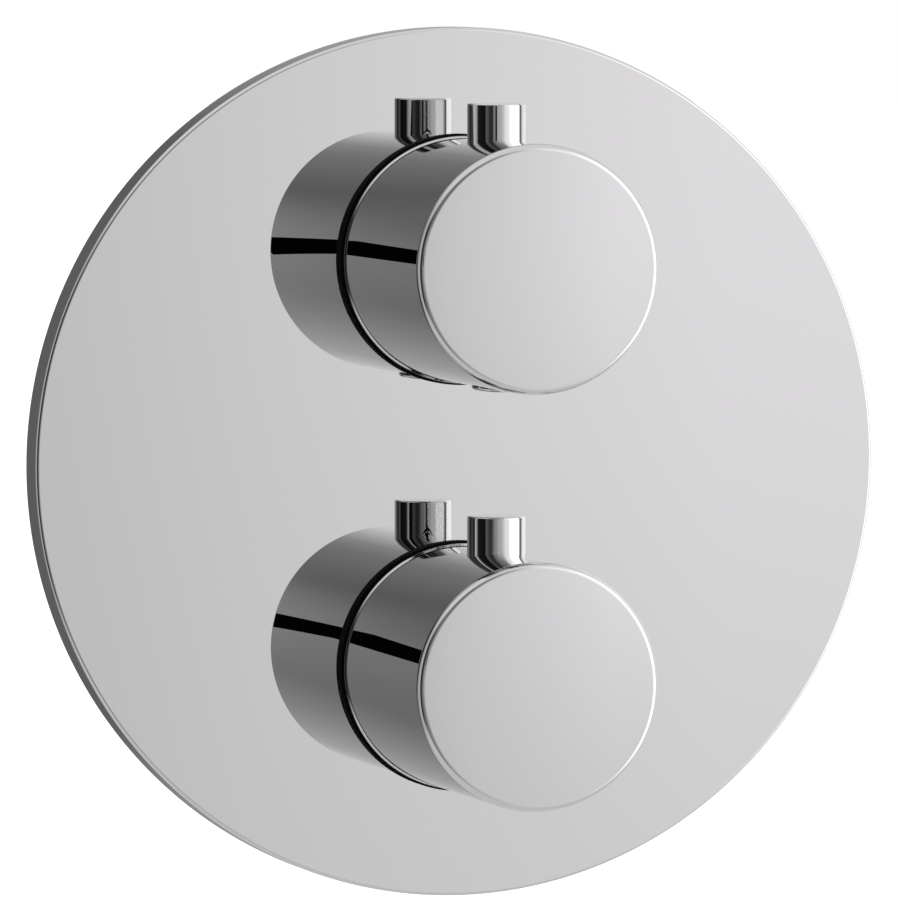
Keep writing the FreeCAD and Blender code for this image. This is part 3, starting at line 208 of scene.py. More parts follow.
@dataclass(frozen=True)
class CastBrass:
    """Brass cast in sand, blasted, and machined where pipes and cartridges go.

    The eye reads the blasted skin as a dull, slightly uneven gold-brown grain, and the machined
    mouths and front faces as brighter, finer metal with turning marks.
    """

    skin: str = "#A98552"
    skin_dark: str = "#86683D"
    machined: str = "#CDAA6A"
    skin_roughness: float = 0.52
    machined_roughness: float = 0.24
    grain: float = 0.6 * MM
    grain_height: float = 0.05 * MM
    stain: float = 22 * MM
    mouth_x: float = 49.9 * MM  # the ports' ends past this X are machined
    front_y: float = 4.2 * MM  # the front faces before this Y are machined
    turning_step: float = 0.5 * MM
    turning_share: float = 0.1  # height of the turning marks, as a share of the grain's

    def material(self, name: str) -> bpy.types.Material:
        """Build the brass with its blasted skin and its machined faces.

        Args:
            name: The material's name.

        Returns:
            The finished material.
        """
        material, tree, shader = new_material(name)
        place = add_node(tree, "ShaderNodeTexCoord").outputs["Object"]
        split = add_node(tree, "ShaderNodeSeparateXYZ", {0: place})
        side = add_node(tree, "ShaderNodeMath", {0: split.outputs["X"]}, operation="ABSOLUTE")
        at_mouth = add_node(
            tree, "ShaderNodeMath", {0: side.outputs[0], 1: self.mouth_x}, operation="GREATER_THAN"
        )
        at_front = add_node(
            tree, "ShaderNodeMath", {0: split.outputs["Y"], 1: self.front_y}, operation="LESS_THAN"
        )
        cut = add_node(
            tree, "ShaderNodeMath", {0: at_mouth.outputs[0], 1: at_front.outputs[0]}, operation="MAXIMUM"
        ).outputs[0]
        stain = add_node(
            tree, "ShaderNodeTexNoise", {"Vector": place, "Scale": 1 / self.stain, "Detail": 4.0}
        )
        skin = add_node(
            tree,
            "ShaderNodeMix",
            {0: stain.outputs[0], 6: linear(self.skin_dark), 7: linear(self.skin)},
            data_type="RGBA",
        )
        colour = add_node(
            tree, "ShaderNodeMix", {0: cut, 6: skin.outputs[2], 7: linear(self.machined)}, data_type="RGBA"
        )
        roughness = add_node(
            tree, "ShaderNodeMapRange", {0: cut, 3: self.skin_roughness, 4: self.machined_roughness}
        )
        grain = add_node(
            tree, "ShaderNodeTexNoise", {"Vector": place, "Scale": 1 / self.grain, "Detail": 2.0}
        )
        turning = add_node(
            tree,
            "ShaderNodeTexWave",
            {"Vector": place, "Scale": WAVE_LENGTH / self.turning_step},
            wave_type="RINGS",
            rings_direction="X",
        )
        height = add_node(
            tree,
            "ShaderNodeMix",
            {0: cut, 2: grain.outputs[0], 3: turning.outputs["Fac"]},
            data_type="FLOAT",
        )
        depth = add_node(tree, "ShaderNodeMapRange", {0: cut, 3: 1.0, 4: self.turning_share})
        bump = add_node(
            tree,
            "ShaderNodeBump",
            {"Height": height.outputs[0], "Distance": self.grain_height, "Strength": depth.outputs[0]},
        )
        shader.inputs["Metallic"].default_value = 1.0
        tree.links.new(colour.outputs[2], shader.inputs["Base Color"])
        tree.links.new(roughness.outputs[0], shader.inputs["Roughness"])
        tree.links.new(bump.outputs[0], shader.inputs["Normal"])
        return material


@dataclass(frozen=True)
class TurnedMetal:
    """Metal turned or drawn to size, with fine tool marks round its axis.

    The eye reads it as satin metal with a tight, regular lay across its axis. The marks are drawn
    about twice as coarse as a lathe leaves them, so that they show.
    """

    light: str
    dark: str
    roughness: float
    mark_step: float
    mark_height: float
    mark_waver: float = 0.4
    patch: float = 6 * MM
    patch_ends: tuple[float, float] = (0.3, 0.7)  # noise levels where a patch starts and is full
    roughness_shares: tuple[float, float] = (0.85, 1.2)  # of the roughness, at those levels

    def material(self, name: str) -> bpy.types.Material:
        """Build the metal with its tool marks and a soft change of tone.

        Args:
            name: The material's name.

        Returns:
            The finished material.
        """
        material, tree, shader = new_material(name)
        place = add_node(tree, "ShaderNodeTexCoord").outputs["Object"]
        tone = add_node(
            tree, "ShaderNodeTexNoise", {"Vector": place, "Scale": 1 / self.patch, "Detail": 3.0}
        )
        colour = add_node(
            tree,
            "ShaderNodeMix",
            {0: tone.outputs[0], 6: linear(self.dark), 7: linear(self.light)},
            data_type="RGBA",
        )
        marks = add_node(
            tree,
            "ShaderNodeTexWave",
            {
                "Vector": place,
                "Scale": WAVE_LENGTH / self.mark_step,
                "Distortion": self.mark_waver,
                "Detail": 1.0,
            },
            wave_type="BANDS",
            bands_direction="Y",
        )
        bump = add_node(
            tree,
            "ShaderNodeBump",
            {"Height": marks.outputs["Fac"], "Distance": self.mark_height, "Strength": 1.0},
        )
        smooth, rough = (self.roughness * share for share in self.roughness_shares)
        low, high = self.patch_ends
        spread = add_node(
            tree, "ShaderNodeMapRange", {0: tone.outputs[0], 1: low, 2: high, 3: smooth, 4: rough}
        )
        shader.inputs["Metallic"].default_value = 1.0
        tree.links.new(colour.outputs[2], shader.inputs["Base Color"])
        tree.links.new(spread.outputs[0], shader.inputs["Roughness"])
        tree.links.new(bump.outputs[0], shader.inputs["Normal"])
        return material


@dataclass(frozen=True)
class MouldedPolymer:
    """Rubber, foam or plastic from a mould.

    The eye reads its colour first, then the grain of the mould's skin and how softly it shines.
    """

    light: str
    dark: str
    roughness: float
    grain: float
    grain_height: float
    shine: float = 0.5
    patch_grains: float = 12.0  # grains across one patch of tone

    def material(self, name: str) -> bpy.types.Material:
        """Build the polymer with its mould grain.

        Args:
            name: The material's name.

        Returns:
            The finished material.
        """
        material, tree, shader = new_material(name)
        place = add_node(tree, "ShaderNodeTexCoord").outputs["Object"]
        grain = add_node(
            tree, "ShaderNodeTexNoise", {"Vector": place, "Scale": 1 / self.grain, "Detail": 3.0}
        )
        tone = add_node(
            tree,
            "ShaderNodeTexNoise",
            {"Vector": place, "Scale": 1 / (self.grain * self.patch_grains), "Detail": 2.0},
        )
        colour = add_node(
            tree,
            "ShaderNodeMix",
            {0: tone.outputs[0], 6: linear(self.dark), 7: linear(self.light)},
            data_type="RGBA",
        )
        bump = add_node(
            tree,
            "ShaderNodeBump",
            {"Height": grain.outputs[0], "Distance": self.grain_height, "Strength": 1.0},
        )
        tree.links.new(colour.outputs[2], shader.inputs["Base Color"])
        shader.inputs["Roughness"].default_value = self.roughness
        shader.inputs["Specular IOR Level"].default_value = self.shine
        tree.links.new(bump.outputs[0], shader.inputs["Normal"])
        return material


FINISHES = {
    "polished_chrome": PolishedChrome(),
    "raw_brass": CastBrass(),
    "nickel_brass": TurnedMetal("#C9C3B4", "#B5AE9C", 0.26, 0.35 * MM, 0.004 * MM),
    "spring_steel": TurnedMetal("#C4C6C9", "#A9ABAF", 0.3, 0.2 * MM, 0.002 * MM),
    "black_rubber": MouldedPolymer("#0C0C0C", "#060606", 0.75, 0.25 * MM, 0.01 * MM, 0.08),
    "grey_foam": MouldedPolymer("#6C6E70", "#57595B", 0.9, 0.45 * MM, 0.12 * MM),
    "white_acetal": MouldedPolymer("#EDEBE4", "#E2E0D8", 0.38, 0.3 * MM, 0.004 * MM),
    "black_acetal": MouldedPolymer("#1D1E20", "#141517", 0.42, 0.3 * MM, 0.01 * MM),
    "alumina": MouldedPolymer("#F2EEE4", "#E9E4D8", 0.16, 0.2 * MM, 0.001 * MM),
}

CUT_BRASS = TurnedMetal("#CDAA6A", "#B8955A", 0.26, 0.4 * MM, 0.003 * MM)


# -------------------------------------------------------------------- shapes
@dataclass(frozen=True)
class Roll:
    """One arc of a rolled edge: its radius, and the turn from the face, in degrees, at its end."""

    size: float
    tilt: float


class Lathe:
    """An outline of straight runs and tangent arcs that is turned about the Y axis."""

    def __init__(self, radius: float, depth: float) -> None:
        """Start the outline.

        Args:
            radius: Distance of the first point from the axis.
            depth: Its Y.
        """
        self.shape = bmesh.new()
        self.tip = self.shape.verts.new((radius, depth, 0.0))

    def run(self, radius: float, depth: float) -> Lathe:
        """Draw a straight run.

        Args:
            radius: Distance of its end from the axis.
            depth: Y of its end.

        Returns:
            The lathe, for the next run.
        """
        self.tip = bmesh.ops.extrude_vert_indiv(self.shape, verts=[self.tip])["verts"][0]
        self.tip.co = Vector((radius, depth, 0.0))
        return self

    def roll(self, tilt: float, rolls: tuple[Roll, ...]) -> Lathe:
        """Draw tangent arcs that roll the surface over.

        Args:
            tilt: Where the surface points at the start: 0 is forward, 90 is outward.
            rolls: The arcs.

        Returns:
            The lathe, for the next run.
        """
        for roll in rolls:
            angle = math.radians(tilt)
            centre = self.tip.co - Vector((math.sin(angle), -math.cos(angle), 0.0)) * roll.size
            arc = bmesh.ops.spin(
                self.shape,
                geom=[self.tip],
                cent=centre,
                axis=(0.0, 0.0, 1.0),
                angle=math.radians(roll.tilt - tilt),
                steps=max(ROLL_STEPS_MIN, math.ceil((roll.tilt - tilt) / ROLL_STEP)),
            )
            self.tip = next(item for item in arc["geom_last"] if isinstance(item, bmesh.types.BMVert))
            tilt = roll.tilt
        return self

    def turn(self, steps: int) -> bmesh.types.BMesh:
        """Turn the outline right round.

        Args:
            steps: How many facets the circle gets.

        Returns:
            The turned shape.
        """
        bmesh.ops.spin(
            self.shape,
            geom=self.shape.verts[:] + self.shape.edges[:],
            cent=(0.0, 0.0, 0.0),
            axis=(0.0, 1.0, 0.0),
            angle=math.tau,
            steps=steps,
            use_merge=True,
        )
        bmesh.ops.remove_doubles(self.shape, verts=self.shape.verts, dist=MERGE)
        bmesh.ops.recalc_face_normals(self.shape, faces=self.shape.faces)
        return self.shape


def roll_reach(tilt: float, rolls: tuple[Roll, ...]) -> float:
    """Work out how far a rolled edge reaches outward.

    Args:
        tilt: Where the surface points at its start.
        rolls: Its arcs.

    Returns:
        The reach along the radius.
    """
    reach = 0.0
    for roll in rolls:
        reach += roll.size * (math.sin(math.radians(roll.tilt)) - math.sin(math.radians(tilt)))
        tilt = roll.tilt
    return reach


def stand_up(shape: bmesh.types.BMesh, turn: float, place: tuple[float, float, float]) -> bmesh.types.BMesh:
    """Swing a turned shape from the Y axis to the Z axis and put it in place.

    Args:
        shape: The shape, whose front faces -Y.
        turn: -90 to face up, 90 to face down.
        place: Where its origin goes.

    Returns:
        The same shape.
    """
    bmesh.ops.rotate(shape, verts=shape.verts, matrix=Matrix.Rotation(math.radians(turn), 3, "X"))
    bmesh.ops.translate(shape, verts=shape.verts, vec=place)
    return shape


def as_object(name: str, shape: bmesh.types.BMesh) -> bpy.types.Object:
    """Turn a shape into an object, and let go of the shape.

    Args:
        name: The object's name.
        shape: The shape.

    Returns:
        The object, linked to the scene.
    """
    mesh = bpy.data.meshes.new(name)
    shape.to_mesh(mesh)
    shape.free()
    piece = bpy.data.objects.new(name, mesh)
    bpy.context.scene.collection.objects.link(piece)
    return piece


def drilled(shape: bmesh.types.BMesh, cutters: list[bmesh.types.BMesh]) -> bmesh.types.BMesh:
    """Cut holes out of a shape.

    Args:
        shape: The shape.
        cutters: What each hole takes away.

    Returns:
        A new shape with the holes.
    """
    stock = as_object("stock", shape)
    tools = [as_object("tool", cutter) for cutter in cutters]
    for tool in tools:
        hole = stock.modifiers.new("hole", "BOOLEAN")
        hole.operation = "DIFFERENCE"
        hole.solver = "EXACT"
        hole.object = tool
    bpy.context.view_layer.update()
    result = bmesh.new()
    result.from_object(stock, bpy.context.evaluated_depsgraph_get())
    for item in [stock] + tools:
        bpy.data.objects.remove(item)
    return result


def add_piece(
    name: str, shape: bmesh.types.BMesh, material: bpy.types.Material, body: str
) -> None:
    """Finish a shape as a piece of the object.

    Args:
        name: The piece's name.
        shape: Its shape, which is let go of.
        material: Its finish.
        body: The body that carries it.
    """
    for edge in shape.edges:
        edge.smooth = len(edge.link_faces) != 2 or edge.calc_face_angle() < SHARP
    piece = as_object(name, shape)
    piece.data.materials.append(material)
    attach(piece, body)
    if name.startswith(TRIM):
        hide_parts(name.removeprefix(TRIM))
    LOG.info("built %s on %s", name, body)


@dataclass
class CoverPlate:
    """Round pan, pressed and polished, whose rim rolls over in arcs."""

    radius: float = 85.0 * MM
    depth: float = 8.0 * MM
    skin: float = 1.5 * MM
    hole_radius: float = 18.2 * MM
    rolls: tuple[Roll, ...] = (
        Roll(0.7 * MM, 9.5),
        Roll(0.7 * MM, 22.0),
        Roll(0.5 * MM, 59.0),
        Roll(1.5 * MM, 90.0),
    )
    steps: int = 480
    hole_steps: int = 120

    def build(self, material: bpy.types.Material) -> None:
        """Turn the rim, fill the skin between it and the holes, and place the plate.

        Args:
            material: Its finish.
        """
        inner = self.radius - self.skin
        lathe = Lathe(self.radius - roll_reach(0.0, self.rolls), -self.depth).roll(0.0, self.rolls)
        lathe.run(self.radius, 0.0).run(inner, 0.0).run(inner, self.skin - self.depth)
        shape = lathe.turn(self.steps)
        for face in shape.faces:
            face.smooth = True
        ends = [edge for edge in shape.edges if edge.is_boundary]
        for depth in (-self.depth, self.skin - self.depth):
            rings = [edge for edge in ends if abs(edge.verts[0].co.y - depth) < MERGE]
            for height in (UPPER, LOWER):
                place = Matrix.Translation((0.0, depth, height)) @ Matrix.Rotation(math.pi / 2, 4, "X")
                circle = bmesh.ops.create_circle(
                    shape, segments=self.hole_steps, radius=self.hole_radius, matrix=place
                )
                rings += list({edge for vert in circle["verts"] for edge in vert.link_edges})
            bmesh.ops.triangle_fill(shape, edges=rings, use_beauty=True)
        for height in (UPPER, LOWER):
            rims = [edge for edge in shape.edges if edge.is_boundary and edge.verts[0].co.z * height > 0]
            for face in bmesh.ops.bridge_loops(shape, edges=rims)["faces"]:
                face.smooth = True
        bmesh.ops.recalc_face_normals(shape, faces=shape.faces)
        add_piece(f"{TRIM}cover_plate", shape, material, "fixed_valve")


@dataclass
class ControlKnob:
    """Round knob: a barely domed face, a rolled edge, a plain side, and a groove and lip at the back."""

    height: float
    prefix: str
    pin_y: float = -33.8 * MM
    radius: float = 23.85 * MM
    face_y: float = -63.2 * MM
    rear_y: float = -9.8 * MM
    bore: float = 21.0 * MM
    deep_bore: float = 19.5 * MM
    step_y: float = -46.7 * MM
    floor_y: float = -60.0 * MM
    dome_tilt: float = 1.5
    rolls: tuple[Roll, ...] = (
        Roll(1.0 * MM, 9.5),
        Roll(2.0 * MM, 22.0),
        Roll(0.66 * MM, 59.0),
        Roll(2.7 * MM, 90.0),
    )
    groove_depth: float = 0.35 * MM
    groove_width: float = 0.3 * MM
    lip_rise: float = 0.25 * MM
    lip_length: float = 1.65 * MM
    lip_edge: float = 0.2 * MM
    seat_radius: float = 5.67 * MM
    seat_depth: float = 0.95 * MM
    stud_hole: float = 2.52 * MM
    access_y: float = -43.2 * MM
    access_radius: float = 2.3 * MM
    button_hole: float = 4.88 * MM
    pin_radius: float = 5.65 * MM
    pin_height: float = 7.1 * MM
    pin_edge: float = 0.4 * MM
    stud_radius: float = 2.5 * MM
    stud_length: float = 4.0 * MM
    steps: int = 360
    hole_steps: int = 96
    pin_steps: int = 192

    def shell(self) -> bmesh.types.BMesh:
        """Turn the hollow knob.

        Returns:
            The knob about the Y axis, without its holes.
        """
        face = self.radius - roll_reach(self.dome_tilt, self.rolls)
        dome = Roll(face / math.sin(math.radians(self.dome_tilt)), self.dome_tilt)
        lip_front = self.rear_y - self.lip_length
        floor = self.radius - self.groove_depth
        lip = self.radius + self.lip_rise
        lathe = Lathe(0.0, self.face_y).roll(0.0, (dome,)).roll(self.dome_tilt, self.rolls)
        lathe.run(self.radius, lip_front - self.groove_width).run(floor, lip_front - self.groove_width)
        lathe.run(floor, lip_front).roll(0.0, (Roll(lip - floor, 90.0),))
        lathe.run(lip, self.rear_y - self.lip_edge).roll(90.0, (Roll(self.lip_edge, 180.0),))
        lathe.run(self.bore, self.rear_y).run(self.bore, self.step_y).run(self.deep_bore, self.step_y)
        return lathe.run(self.deep_bore, self.floor_y).run(0.0, self.floor_y).turn(self.steps)

    def hole(self, radius: float, y: float) -> bmesh.types.BMesh:
        """Shape a round hole up through the bottom of the side.

        Args:
            radius: The hole's radius.
            y: Where it is along the knob.

        Returns:
            What the hole takes away.
        """
        reach = self.radius - self.bore + 2 * OVERCUT
        cutter = Lathe(0.0, -OVERCUT).run(radius, -OVERCUT).run(radius, reach).run(0.0, reach)
        return stand_up(cutter.turn(self.hole_steps), 90.0, (0.0, y, self.height - self.radius))

    def pin_seat(self) -> bmesh.types.BMesh:
        """Shape the seat and the stud's hole at the top of the side.

        Returns:
            What they take away.
        """
        cutter = Lathe(0.0, -OVERCUT).run(self.seat_radius, -OVERCUT).run(self.seat_radius, self.seat_depth)
        cutter.run(self.stud_hole, self.seat_depth).run(self.stud_hole, self.stud_length)
        cutter.run(0.0, self.stud_length)
        return stand_up(cutter.turn(self.hole_steps), -90.0, (0.0, self.pin_y, self.height + self.radius))

    def pin(self) -> bmesh.types.BMesh:
        """Turn the lever pin with its stud.

        Returns:
            The pin in its place.
        """
        end = self.seat_depth + self.stud_length
        lathe = Lathe(0.0, -self.pin_height).run(self.pin_radius - self.pin_edge, -self.pin_height)
        lathe.roll(0.0, (Roll(self.pin_edge, 90.0),)).run(self.pin_radius, self.seat_depth)
        lathe.run(self.stud_radius, self.seat_depth).run(self.stud_radius, end).run(0.0, end)
        return stand_up(lathe.turn(self.pin_steps), -90.0, (0.0, self.pin_y, self.height + self.radius))

    def build(self, material: bpy.types.Material, with_button: bool) -> None:
        """Make the knob and its pin, and place them.

        Args:
            material: Their finish.
            with_button: Whether the knob has the hole for the safety button.
        """
        shell = self.shell()
        bmesh.ops.translate(shell, verts=shell.verts, vec=(0.0, 0.0, self.height))
        holes = [self.pin_seat(), self.hole(self.access_radius, self.access_y)]
        if with_button:
            holes.append(self.hole(self.button_hole, self.pin_y))
        body = f"{self.prefix}_control"
        for name, shape in (("knob", drilled(shell, holes)), ("lever_pin", self.pin())):
            for face in shape.faces:
                face.smooth = True
            add_piece(f"{TRIM}{self.prefix}_{name}", shape, material, body)


@dataclass
class SafetyButton:
    """Push button under the temperature knob: a cap that follows the knob's side, a stem and a foot."""

    axis_y: float = -33.8 * MM
    end_radius: float = 24.55 * MM
    radius: float = 4.8 * MM
    length: float = 5.85 * MM
    edge: float = 0.6 * MM
    stem_radius: float = 2.0 * MM
    foot_width: float = 3.0 * MM
    foot_length: float = 4.4 * MM
    foot_outer: float = 13.7 * MM
    foot_inner: float = 12.3 * MM
    steps: int = 128
    cap_rings: int = 12  # rings across the cap's end, so that it can bend

    def build(self, material: bpy.types.Material) -> None:
        """Turn the cap and stem, bend the cap's end round the knob, and add the foot.

        Args:
            material: Its finish.
        """
        stem_end = self.end_radius - self.foot_inner
        lathe = Lathe(0.0, 0.0)
        for ring in range(1, self.cap_rings + 1):
            lathe.run((self.radius - self.edge) * ring / self.cap_rings, 0.0)
        lathe.roll(0.0, (Roll(self.edge, 90.0),)).run(self.radius, self.length)
        lathe.run(self.stem_radius, self.length).run(self.stem_radius, stem_end).run(0.0, stem_end)
        shape = lathe.turn(self.steps)
        for vert in shape.verts:
            if vert.co.y < self.edge + MERGE:
                vert.co.y += self.end_radius - math.sqrt(self.end_radius**2 - vert.co.x**2)
        stand_up(shape, 90.0, (0.0, self.axis_y, UPPER - self.end_radius))
        for face in shape.faces:
            face.smooth = True
        foot = bmesh.ops.create_cube(shape, size=1.0)["verts"]
        size = (self.foot_width, self.foot_length, self.foot_outer - self.foot_inner)
        bmesh.ops.scale(shape, verts=foot, vec=size)
        middle = (self.foot_outer + self.foot_inner) / 2
        bmesh.ops.translate(shape, verts=foot, vec=(0.0, self.axis_y + self.foot_length / 2, UPPER - middle))
        add_piece(f"{TRIM}safety_button", shape, material, "safety_button")


@dataclass
class PortThread:
    """Pipe thread in a port's mouth: a half-inch parallel thread, as ridges on the bore."""

    bore: float = 9.3 * MM
    ridge: float = 0.4 * MM
    sunk: float = 0.05 * MM
    pitch: float = 1.814 * MM
    turns: int = 6
    flank: float = 0.36  # half of a ridge's foot, as a share of the pitch
    mouth_x: float = 50.0 * MM
    lead_in: float = 0.1 * MM
    port_y: float = 48.0 * MM
    facets: int = 60

    def build(self, name: str, side: int, height: float, material: bpy.types.Material) -> None:
        """Wind one ridge into a port.

        Args:
            name: The piece's name.
            side: -1 for a port on the left, 1 for one on the right.
            height: The port's Z.
            material: Its finish.
        """
        shape = bmesh.new()
        outer = self.bore + self.sunk
        half = self.pitch * self.flank
        corners = ((-half, outer), (0.0, self.bore - self.ridge), (half, outer))
        points = [shape.verts.new((x, radius, 0.0)) for x, radius in corners]
        section = shape.faces.new(points)
        bmesh.ops.spin(
            shape,
            geom=[section],
            cent=(0.0, 0.0, 0.0),
            axis=(1.0, 0.0, 0.0),
            dvec=(-self.pitch / self.facets, 0.0, 0.0),
            angle=math.tau * self.turns,
            steps=self.facets * self.turns,
        )
        bmesh.ops.translate(shape, verts=shape.verts, vec=(self.mouth_x - half - self.lead_in, 0.0, 0.0))
        if side < 0:
            bmesh.ops.rotate(shape, verts=shape.verts, matrix=Matrix.Rotation(math.pi, 3, "Z"))
        bmesh.ops.translate(shape, verts=shape.verts, vec=(0.0, self.port_y, height))
        bmesh.ops.recalc_face_normals(shape, faces=shape.faces)
        add_piece(name, shape, material, "fixed_valve")


class Dresser:
    """Gives every solid the finish of its slot, and builds the pieces that are finer than solids."""

    def __init__(self) -> None:
        """Build one material for each slot."""
        self.materials = {slot: finish.material(slot) for slot, finish in FINISHES.items()}
        self.cut_brass = CUT_BRASS.material("cut_brass")

    def dress(self) -> None:
        """Put the finishes on the solids."""
        for part in frame["record"]["subparts"]:
            solid = frame["nodes"][part["node"]]
            for place in solid.material_slots:
                place.material = self.materials[part["material_slot"]]
            LOG.info("dressed %s in %s", part["node"], part["material_slot"])

    def build_details(self) -> None:
        """Build the polished trim and the port threads."""
        chrome = self.materials["polished_chrome"]
        CoverPlate().build(chrome)
        ControlKnob(UPPER, "temperature").build(chrome, with_button=True)
        ControlKnob(LOWER, "flow").build(chrome, with_button=False)
        SafetyButton().build(chrome)
        ports = (
            ("hot_inlet", -1, UPPER),
            ("cold_inlet", 1, UPPER),
            ("left_outlet", -1, LOWER),
            ("right_outlet", 1, LOWER),
        )
        for name, side, height in ports:
            PortThread().build(f"{name}_thread", side, height, self.cut_brass)


# -------------------------------------------------------------------- studio
class TentPanel(Enum):
    """Cloths of the tent, from behind the object by its left and its front to its right.

    Each has the bearings of its two edges in degrees, where 0 is straight ahead of the plate and + is
    to the right, and then the radiance at each edge. Between two cloths the tone runs evenly.
    """

    BACK_LEFT_WALL = (-180, -150, 0.14, 0.14)
    BACK_LEFT_LAMP = (-128, -113, 0.35, 0.66)
    LEFT_LAMP_EDGE = (-102, -97, 0.48, 0.2)
    BLACK_DRAPE = (-93, -62, 0.015, 0.006)
    GREY_STRIP = (-57, -50, 0.12, 0.11)
    DARK_DRAPE = (-45, -31, 0.05, 0.03)
    FRONT_LEFT_CLOTH = (-26, -20, 0.24, 0.3)
    FRONT_CLOTH = (-12, -5, 0.45, 0.56)
    FRONT_RIGHT_CLOTH = (6, 12, 0.64, 0.87)
    RIGHT_CLOTH = (19, 30, 1.1, 1.2)
    RIGHT_LAMP = (34, 83, 1.85, 1.85)
    RIGHT_GAP = (88, 94, 0.4, 0.08)
    BACK_RIGHT_LAMP = (101, 108, 0.6, 1.15)
    BACK_RIGHT_CLOTH = (125, 155, 1.0, 0.6)
    BACK_RIGHT_WALL = (170, 180, 0.324, 0.14)

    def stops(self) -> Pairs:
        """Pair the bearing of each edge with its radiance.

        Returns:
            The two edges.
        """
        first, last, first_tone, last_tone = self.value
        return ((first, first_tone), (last, last_tone))


class WallRow(Enum):
    """Rows of cloth on the front wall, dark at the left and bright at the right: X and radiance."""

    TOP = (
        (-1.4, 0.05),
        (-0.9, 0.2),
        (-0.54, 0.235),
        (-0.31, 0.2),
        (0.16, 0.32),
        (0.31, 0.42),
        (0.44, 0.62),
        (0.75, 1.22),
        (1.3, 1.5),
    )
    MIDDLE = (
        (-1.4, 0.03),
        (-1.3, 0.04),
        (-1.12, 0.22),
        (-0.95, 0.3),
        (-0.62, 0.36),
        (-0.32, 0.56),
        (0.1, 0.6),
        (0.45, 0.8),
        (0.75, 1.1),
        (1.3, 1.2),
    )
    BOTTOM = (
        (-1.4, 0.15),
        (-0.7, 0.28),
        (-0.5, 0.29),
        (-0.31, 0.37),
        (0.31, 0.61),
        (0.54, 0.8),
        (0.75, 0.88),
        (1.3, 0.95),
    )


